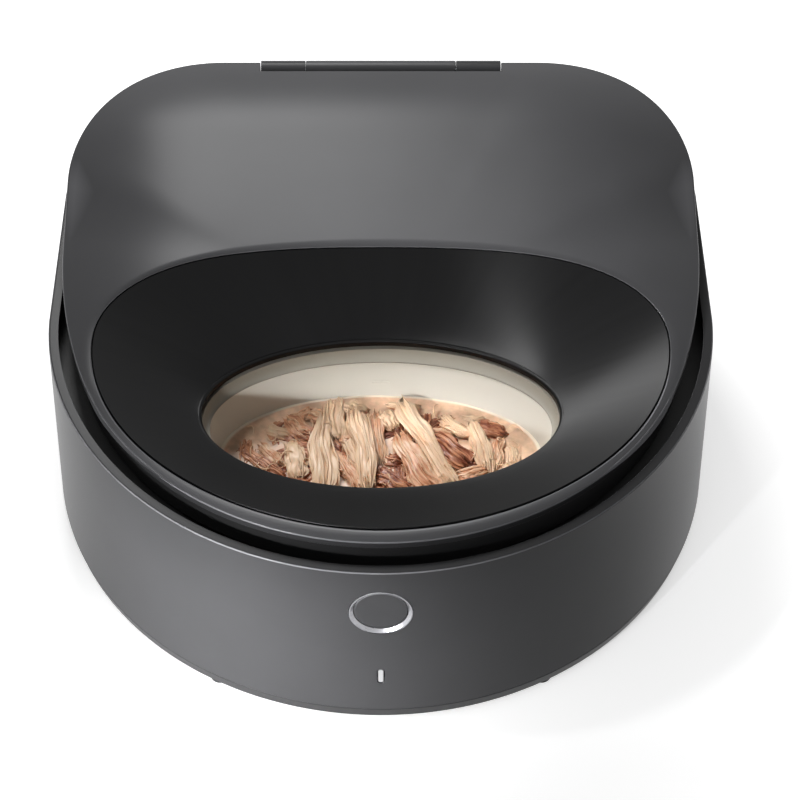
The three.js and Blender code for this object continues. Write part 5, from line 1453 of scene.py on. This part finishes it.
def shreds_of(rows, seed):
    """The rows as torn pieces with their loose fibres."""
    level_z = bowls().food_level - MM
    rng = random.Random(seed)
    made = []
    for x0, y0, x1, y1, width0, width1, lift0, lift1, bend in rows:
        height = (width0 + width1) * rng.uniform(0.22, 0.3)
        piece, middles = shred(
            (x0 * MM, y0 * MM, level_z + lift0 * MM), (x1 * MM, y1 * MM, level_z + lift1 * MM),
            (width0 * MM, width1 * MM), height * MM, bend * MM,
            rng.uniform(-0.6, 0.6), rng.uniform(1, 90))
        made.append(piece)
        made += loose_fibres(middles, round(3 + (width0 + width1) / 3), rng)
    return made


def in_oval(x, y, front, half_width, half_depth):
    """Whether a place lies in an oval whose middle is that far in front."""
    return (x / half_width) ** 2 + ((y + front) / half_depth) ** 2 < 1


def under_rows(seed):
    """Small pieces at random, half sunk in the broth below the others."""
    rng = random.Random(seed)
    rows = []
    while len(rows) < UNDER_COUNT:
        x, y = rng.uniform(-64, 64), rng.uniform(-90, -33)
        if not in_oval(x, y, *UNDER_OVAL):
            continue
        heading, reach = rng.uniform(0, math.pi), rng.uniform(6, 10)
        dx, dy = reach * math.cos(heading), reach * math.sin(heading)
        rows.append((x - dx, y - dy, x + dx, y + dy, rng.uniform(5, 8), rng.uniform(5, 8),
                     rng.uniform(-1.8, -0.4), rng.uniform(-1.8, -0.4), rng.uniform(-1, 1)))
    return [row for row in rows if in_oval(*row[:2], *UNDER_END_OVAL)
            and in_oval(*row[2:4], *UNDER_END_OVAL)]


def food_piece(name, strips, material):
    """Several pieces of meat as one, with the maps that their fibres follow and that give their
    creases painted shade.
    """
    mesh = mesh_of(name, joined([strip[:2] for strip in strips]))
    for layer_name, part in (("fibres", 2), ("creases", 3)):
        chart = [uv for strip in strips for uv in strip[part]]
        layer = mesh.uv_layers.new(name=layer_name)
        for loop in mesh.loops:
            layer.data[loop.index].uv = chart[loop.vertex_index]
    return finish_piece(name, mesh, "tray", material, ["wet_food"], SOFT_ANGLE)


def curls():
    """Fine curled strands over the meat, most of them at the left and the right."""
    rng = random.Random(bowls().seed)
    level_z = bowls().food_level + 0.0028
    made = []
    for i in range(34):
        side = rng.choice((-1, -1, 1))
        x, y = side * rng.uniform(0.03, 0.062), rng.uniform(-0.066, -0.04)
        if i % 4 == 0:
            x, y = rng.uniform(-0.03, 0.04), rng.uniform(-0.074, -0.03)
        heading = rng.uniform(0, 2 * math.pi)
        curl = rng.choice((-1, 1)) * rng.uniform(0.5, 1.3)
        step = rng.uniform(0.0012, 0.0022)
        points = []
        for k in range(7):
            points.append((x, y, level_z + 0.0012 * math.sin(k * 0.9 + i)))
            x += step * math.cos(heading)
            y += step * math.sin(heading)
            heading += curl * rng.uniform(0.5, 1)
        made.append(thread(points, rng.uniform(0.0003, 0.0005), rng.uniform(1, 90)))
    return made


def broth_solid():
    """The broth, with a slow ripple and a raised edge where it meets the bowl."""
    level_z = bowls().food_level
    ripple, edge_rise, edge_start = 0.0006, 0.0007, 0.94
    rings = []
    for reach in np.concatenate((np.linspace(0.02, 0.94, 18), (0.97, 0.985, 0.995, 1.0))):
        outline = (bowl_outline(BROTH_INSET, 0) - (0, WINDOW_Y)) * reach + (0, WINDOW_Y)
        rise = edge_rise * max(0, (reach - edge_start) / (1 - edge_start)) ** 2
        z = [level_z + ripple * wander(x * 60, y * 60, 2.0) + rise for x, y in outline]
        rings.append(np.column_stack((outline, z)))
    lower = bowl_outline(BROTH_INSET + 0.0003, 0)
    rings += [level(lower, level_z - 0.002), level(lower * 0.999, level_z - 0.003)]
    return skin(rings)


# Pieces of the controls


def ring_solid():
    """The bright ring: a flat front face and a slope down to the button."""
    inner, outer, front, back = RING_RADIUS - RING_WIDTH, RING_RADIUS, RING_LOW.y, RING_HIGH.y
    profile = rounded([(inner, front + RING_SLOPE), (outer - 0.0005, front), (outer, front),
                       (outer, back), (inner, back)],
                      [0.0001, 0.0001, 0.0002, 0.0002, 0.0002])
    return turned(profile, (0, 0, BUTTON_Z), "Y", 128, True)


def button_solid():
    """The feed button: a face with a soft rise in its middle, a flange and a stem."""
    radius = RING_RADIUS - RING_WIDTH - SEAT_GAP
    face = RING_LOW.y + RING_SLOPE - 0.0001
    flange, shoulder = BUTTON_HIGH.x, RING_HIGH.y + SEAT_GAP
    stem, back = 0.004, shoulder + 0.0013
    profile = [(radius * f, face + 0.0006 * (1 - f ** 2) ** 2) for f in (0.05, 0.3, 0.6, 0.8)]
    profile += rounded([(radius * 0.9, face), (radius, face), (radius, shoulder),
                        (flange, shoulder), (flange, back), (stem, back),
                        (stem, BUTTON_HIGH.y)],
                       [0, 0.0006, 0, 0.0003, 0.0003, 0, 0], closed=False)
    return turned(profile, (0, 0, BUTTON_Z), "Y", 128)


def light_solid():
    """The status light's lens, with a soft front edge."""
    front = LIGHT_LOW.y
    return stadium(LIGHT_HALF_WIDTH, LIGHT_HALF_HEIGHT, LIGHT_Z, (0.0006, front),
                   (0.0002, front + 0.0002), (0, front + 0.0006), (0, LIGHT_HIGH.y))


# Operators


class BuildBase(bpy.types.Operator):
    """Builds the wall, the bottom ring, the feet, the screws and the tray's well"""
    bl_idname = "feeder.build_base"
    bl_label = "Base"

    def execute(self, context):
        tone = tones().body
        # The wall's satin paints a strong highlight on its edges and paints shade on its level
        # tops, the rim's top among them.
        finish_piece("base_shell", base_shell(), "base",
                     satin("satin_anthracite_base", tone, 0.33, 4.5, 0.3), ["outer_shell"])
        # The ring's satin paints a highlight on its edges.
        ring_finish = satin("satin_anthracite_ring", shaded(tone, 0.55), 0.36, 2.0)
        finish_piece("base_ring", base_ring(), "base", ring_finish, ["base_plate"])
        corners = ("front_left", "front_right", "back_left", "back_right")
        for corner, place in zip(corners, foot_places()):
            dress(f"pad_{corner}", foot_solid(*place), "base", "rubber", f"foot_{corner}")
        for corner, place in zip(corners, post_places()):
            dress(f"screw_{corner}", screw_solid(*place), "base", "steel",
                  f"base_screw_{corner}")
        dress("well_liner", well_liner(), "base", "black_plastic", "inner_liner")
        return {"FINISHED"}


class BuildLid(bpy.types.Operator):
    """Builds the hood, the dish, the window's seal, the lid's floor and its gasket"""
    bl_idname = "feeder.build_lid"
    bl_label = "Lid"

    def execute(self, context):
        # The hood's satin paints a highlight on its edges and round the dish, and paints shade on
        # its upright outer side.
        hood_finish = satin("satin_anthracite_hood", tones().body, 0.33, 2.8, side=0.55)
        finish_piece("hood", hood_mesh(), "lid", hood_finish, ["lid_shell"])
        dress("mouth_dish", dish_solid(), "lid", "black_satin", "dish")
        dress("mouth_seal", seal_solid(), "lid", "taupe", "window_seal")
        dress("lid_floor", lid_floor(), "lid", "black_plastic", "lid_pan")
        dress("gasket_ring", gasket_solid(), "lid", "rubber", "lid_gasket")
        return {"FINISHED"}


class BuildTray(bpy.types.Operator):
    """Builds the tray with its bowls and the level mark of each"""
    bl_idname = "feeder.build_tray"
    bl_label = "Tray"

    def execute(self, context):
        dress("bowl_tray", tray_mesh(), "tray", "cream", "food_tray")
        return {"FINISHED"}


class BuildFood(bpy.types.Operator):
    """Builds the broth and the shredded meat in the front bowl"""
    bl_idname = "feeder.build_food"
    bl_label = "Food"

    def execute(self, context):
        c, seed = tones(), bowls().seed
        pale = meat("pale_meat", shaded(c.pink, 0.7), c.pale, linear(227, 193, 159))
        pink = meat("pink_meat", c.brown, c.pink, c.pale)
        brown = meat("brown_meat", shaded(c.brown, 0.35), c.brown, c.pink)
        finish_piece("broth", broth_solid(), "tray", broth_finish(), ["wet_food"],
                     math.radians(60))
        food_piece("pale_shreds", shreds_of(PALE_SHREDS, seed), pale)
        food_piece("pink_shreds", shreds_of(PINK_SHREDS, seed + 1), pink)
        food_piece("brown_shreds", shreds_of(BROWN_SHREDS, seed + 2), brown)
        food_piece("under_shreds", shreds_of(under_rows(seed + 3), seed + 4), brown)
        food_piece("curled_strands", curls(), pale)
        return {"FINISHED"}


class BuildControls(bpy.types.Operator):
    """Builds the feed button, its bright ring, the status light and the hinge pin"""
    bl_idname = "feeder.build_controls"
    bl_label = "Controls"

    def execute(self, context):
        dress("bright_ring", ring_solid(), "base", "chrome", "button_ring")
        dress("round_button", button_solid(), "button", "body", "feed_button")
        dress("status_light", light_solid(), "base", "light", "light_pipe")
        pin = rod(PIN_RADIUS, (0, HINGE_Y, HINGE_Z), PIN_LOW.x, PIN_HIGH.x, "X", edge=0.0004)
        dress("hinge_rod", pin, "base", "steel", "hinge_pin")
        return {"FINISHED"}


class FinishInside(bpy.types.Operator):
    """Gives every part that is kept from the frame the finish of its slot"""
    bl_idname = "feeder.finish_inside"
    bl_label = "Inside"

    def execute(self, context):
        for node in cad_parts.values():
            for holder in node.material_slots:
                if not node.hide_render:
                    holder.material = finish_of(holder.material.name)
        return {"FINISHED"}


# Each lamp's name, place, aim, width and height, in metres, and its spread in degrees
LAMPS = (
    ("wall", (-0.62, -1.00, 0.50), (-0.07, -0.15, 0.05), 0.12, 0.12, 12),
    ("low", (-0.46, -0.60, 0.12), (-0.08, -0.13, 0.05), 0.10, 0.20, 24),
    ("bowl", (-0.15, -0.90, 1.00), (0.0, -0.03, 0.08), 0.12, 0.12, 12),
    ("back", (-0.12, 0.50, 0.62), (-0.02, 0.06, 0.12), 0.30, 0.25, 180),
    ("dish", (-0.46, -0.02, 0.95), (0.06, -0.01, 0.10), 0.18, 0.18, 14),
)


# The camera at the photograph's angle, and how far the floor reaches, in metres
CAMERA_PLACE, CAMERA_TILT = (0, -1.1399, 1.2790), math.radians(42.87)
FOCAL_LENGTH, SENSOR_WIDTH, LENS_SHIFT, VIEW_END = 157.5, 36, 0.024, 20
FLOOR_HALF, FLOOR_DEPTH = 12.0, 0.01


def softbox(name, place, target, width, height, spread, power):
    """A soft rectangular lamp that faces its target. The spread is in degrees."""
    lamp = bpy.data.lights.new(name, "AREA")
    lamp.shape = "RECTANGLE"
    lamp.size, lamp.size_y = width, height
    lamp.spread = math.radians(spread)
    lamp.energy = power
    holder = bpy.data.objects.new(name, lamp)
    holder.location = place
    towards = Vector(target) - Vector(place)
    holder.rotation_euler = towards.to_track_quat("-Z", "Y").to_euler()
    bpy.context.scene.collection.objects.link(holder)


class BuildStage(bpy.types.Operator):
    """Builds the pale floor, the soft lamps, the white surroundings and the camera"""
    bl_idname = "feeder.build_stage"
    bl_label = "Studio"

    def execute(self, context):
        s = context.scene.feeder_stage
        floor_mesh = mesh_of("studio_floor", block((-FLOOR_HALF, -FLOOR_HALF, -FLOOR_DEPTH),
                                                   (FLOOR_HALF, FLOOR_HALF, 0)))
        floor = bpy.data.objects.new("studio_floor", floor_mesh)
        context.scene.collection.objects.link(floor)
        floor_mesh.materials.append(floor_finish())
        for name, *setting in LAMPS:
            softbox(f"{name}_lamp", *setting, getattr(s, name))
        surroundings(s.ambient)
        lens = bpy.data.cameras.new("photo_camera")
        lens.lens, lens.sensor_width = FOCAL_LENGTH, SENSOR_WIDTH
        lens.shift_x, lens.clip_end = LENS_SHIFT, VIEW_END
        camera = bpy.data.objects.new("photo_camera", lens)
        camera.location = CAMERA_PLACE
        camera.rotation_euler = (CAMERA_TILT, 0, 0)
        context.scene.collection.objects.link(camera)
        context.scene.camera = camera
        context.scene.view_settings.view_transform = "Standard"
        return {"FINISHED"}


def shown_directly(tree):
    """1 for rays from the camera, in reflections and through clear parts, and else 0."""
    path = tree.nodes.new("ShaderNodeLightPath")
    total = path.outputs["Is Camera Ray"]
    for ray in ("Is Glossy Ray", "Is Transmission Ray"):
        node = tree.nodes.new("ShaderNodeMath")
        node.operation = "MAXIMUM"
        tree.links.new(total, node.inputs[0])
        tree.links.new(path.outputs[ray], node.inputs[1])
        total = node.outputs[0]
    return total


def floor_finish():
    """Pale matt floor that shows as white, its glow dimmed near the object as a painted contact
    shadow.
    """
    finish = Finish("pale_floor", Roughness=0.9, Specular=0.1)
    finish.show(finish.blend(
        finish.noise(0.4, 2), (0.3, (0.78, 0.78, 0.78)), (0.7, (0.8, 0.8, 0.8))))
    finish.put(finish.shader, "Emission Color", (1.0, 1.0, 1.0))
    # Its glow dims where the ambient occlusion finds the object near: a painted contact shadow on
    # the floor.
    open_sky = finish.add("ShaderNodeAmbientOcclusion", {"Distance": 0.22}, samples=16)
    glow = finish.spread(open_sky.outputs["AO"], 0.45, 1.0, 0.15, 0.95)
    finish.put(finish.shader, "Emission Strength", finish.maths(
        "MULTIPLY", glow, shown_directly(finish.tree)))
    return finish.material


def surroundings(ambient):
    """White where it is seen directly, and else as bright as the ambient light."""
    world = bpy.data.worlds.new("studio")
    world.use_nodes = True
    tree = world.node_tree
    tree.nodes.clear()
    out = tree.nodes.new("ShaderNodeOutputWorld")
    back = tree.nodes.new("ShaderNodeBackground")
    back.inputs["Color"].default_value = (1, 1, 1, 1)
    level_node = tree.nodes.new("ShaderNodeMapRange")
    level_node.inputs["To Min"].default_value = ambient
    level_node.inputs["To Max"].default_value = 1.0
    tree.links.new(shown_directly(tree), level_node.inputs["Value"])
    tree.links.new(level_node.outputs["Result"], back.inputs["Strength"])
    tree.links.new(back.outputs[0], out.inputs["Surface"])
    bpy.context.scene.world = world


class FeederPanel(bpy.types.Panel):
    """Lists the feeder's builders and its sizes"""
    bl_idname = "VIEW3D_PT_feeder"
    bl_label = "Wet Food Feeder"
    bl_space_type = "VIEW_3D"
    bl_region_type = "UI"
    bl_category = "Feeder"

    def draw(self, context):
        for operator in OPERATORS:
            self.layout.operator(operator.bl_idname)
        for name, group in GROUPS.items():
            box = self.layout.box()
            box.label(text=group.__doc__)
            for size in group.__annotations__:
                box.prop(getattr(context.scene, name), size)


OPERATORS = (BuildBase, BuildLid, BuildTray, BuildFood, BuildControls, FinishInside, BuildStage)


def register():
    """Registers the classes and gives the scene their groups of sizes."""
    for group in (*GROUPS.values(), *OPERATORS, FeederPanel):
        bpy.utils.register_class(group)
    for name, group in GROUPS.items():
        setattr(bpy.types.Scene, name, PointerProperty(type=group))


def unregister():
    """Takes the groups of sizes and the classes away again."""
    for name in GROUPS:
        delattr(bpy.types.Scene, name)
    for group in (FeederPanel, *OPERATORS, *GROUPS.values()):
        bpy.utils.unregister_class(group)


def main():
    """Builds everything in order."""
    register()
    bpy.ops.feeder.build_base()
    bpy.ops.feeder.build_lid()
    bpy.ops.feeder.build_tray()
    bpy.ops.feeder.build_food()
    bpy.ops.feeder.build_controls()
    bpy.ops.feeder.finish_inside()
    bpy.ops.feeder.build_stage()


if __name__ == "__main__":
    main()
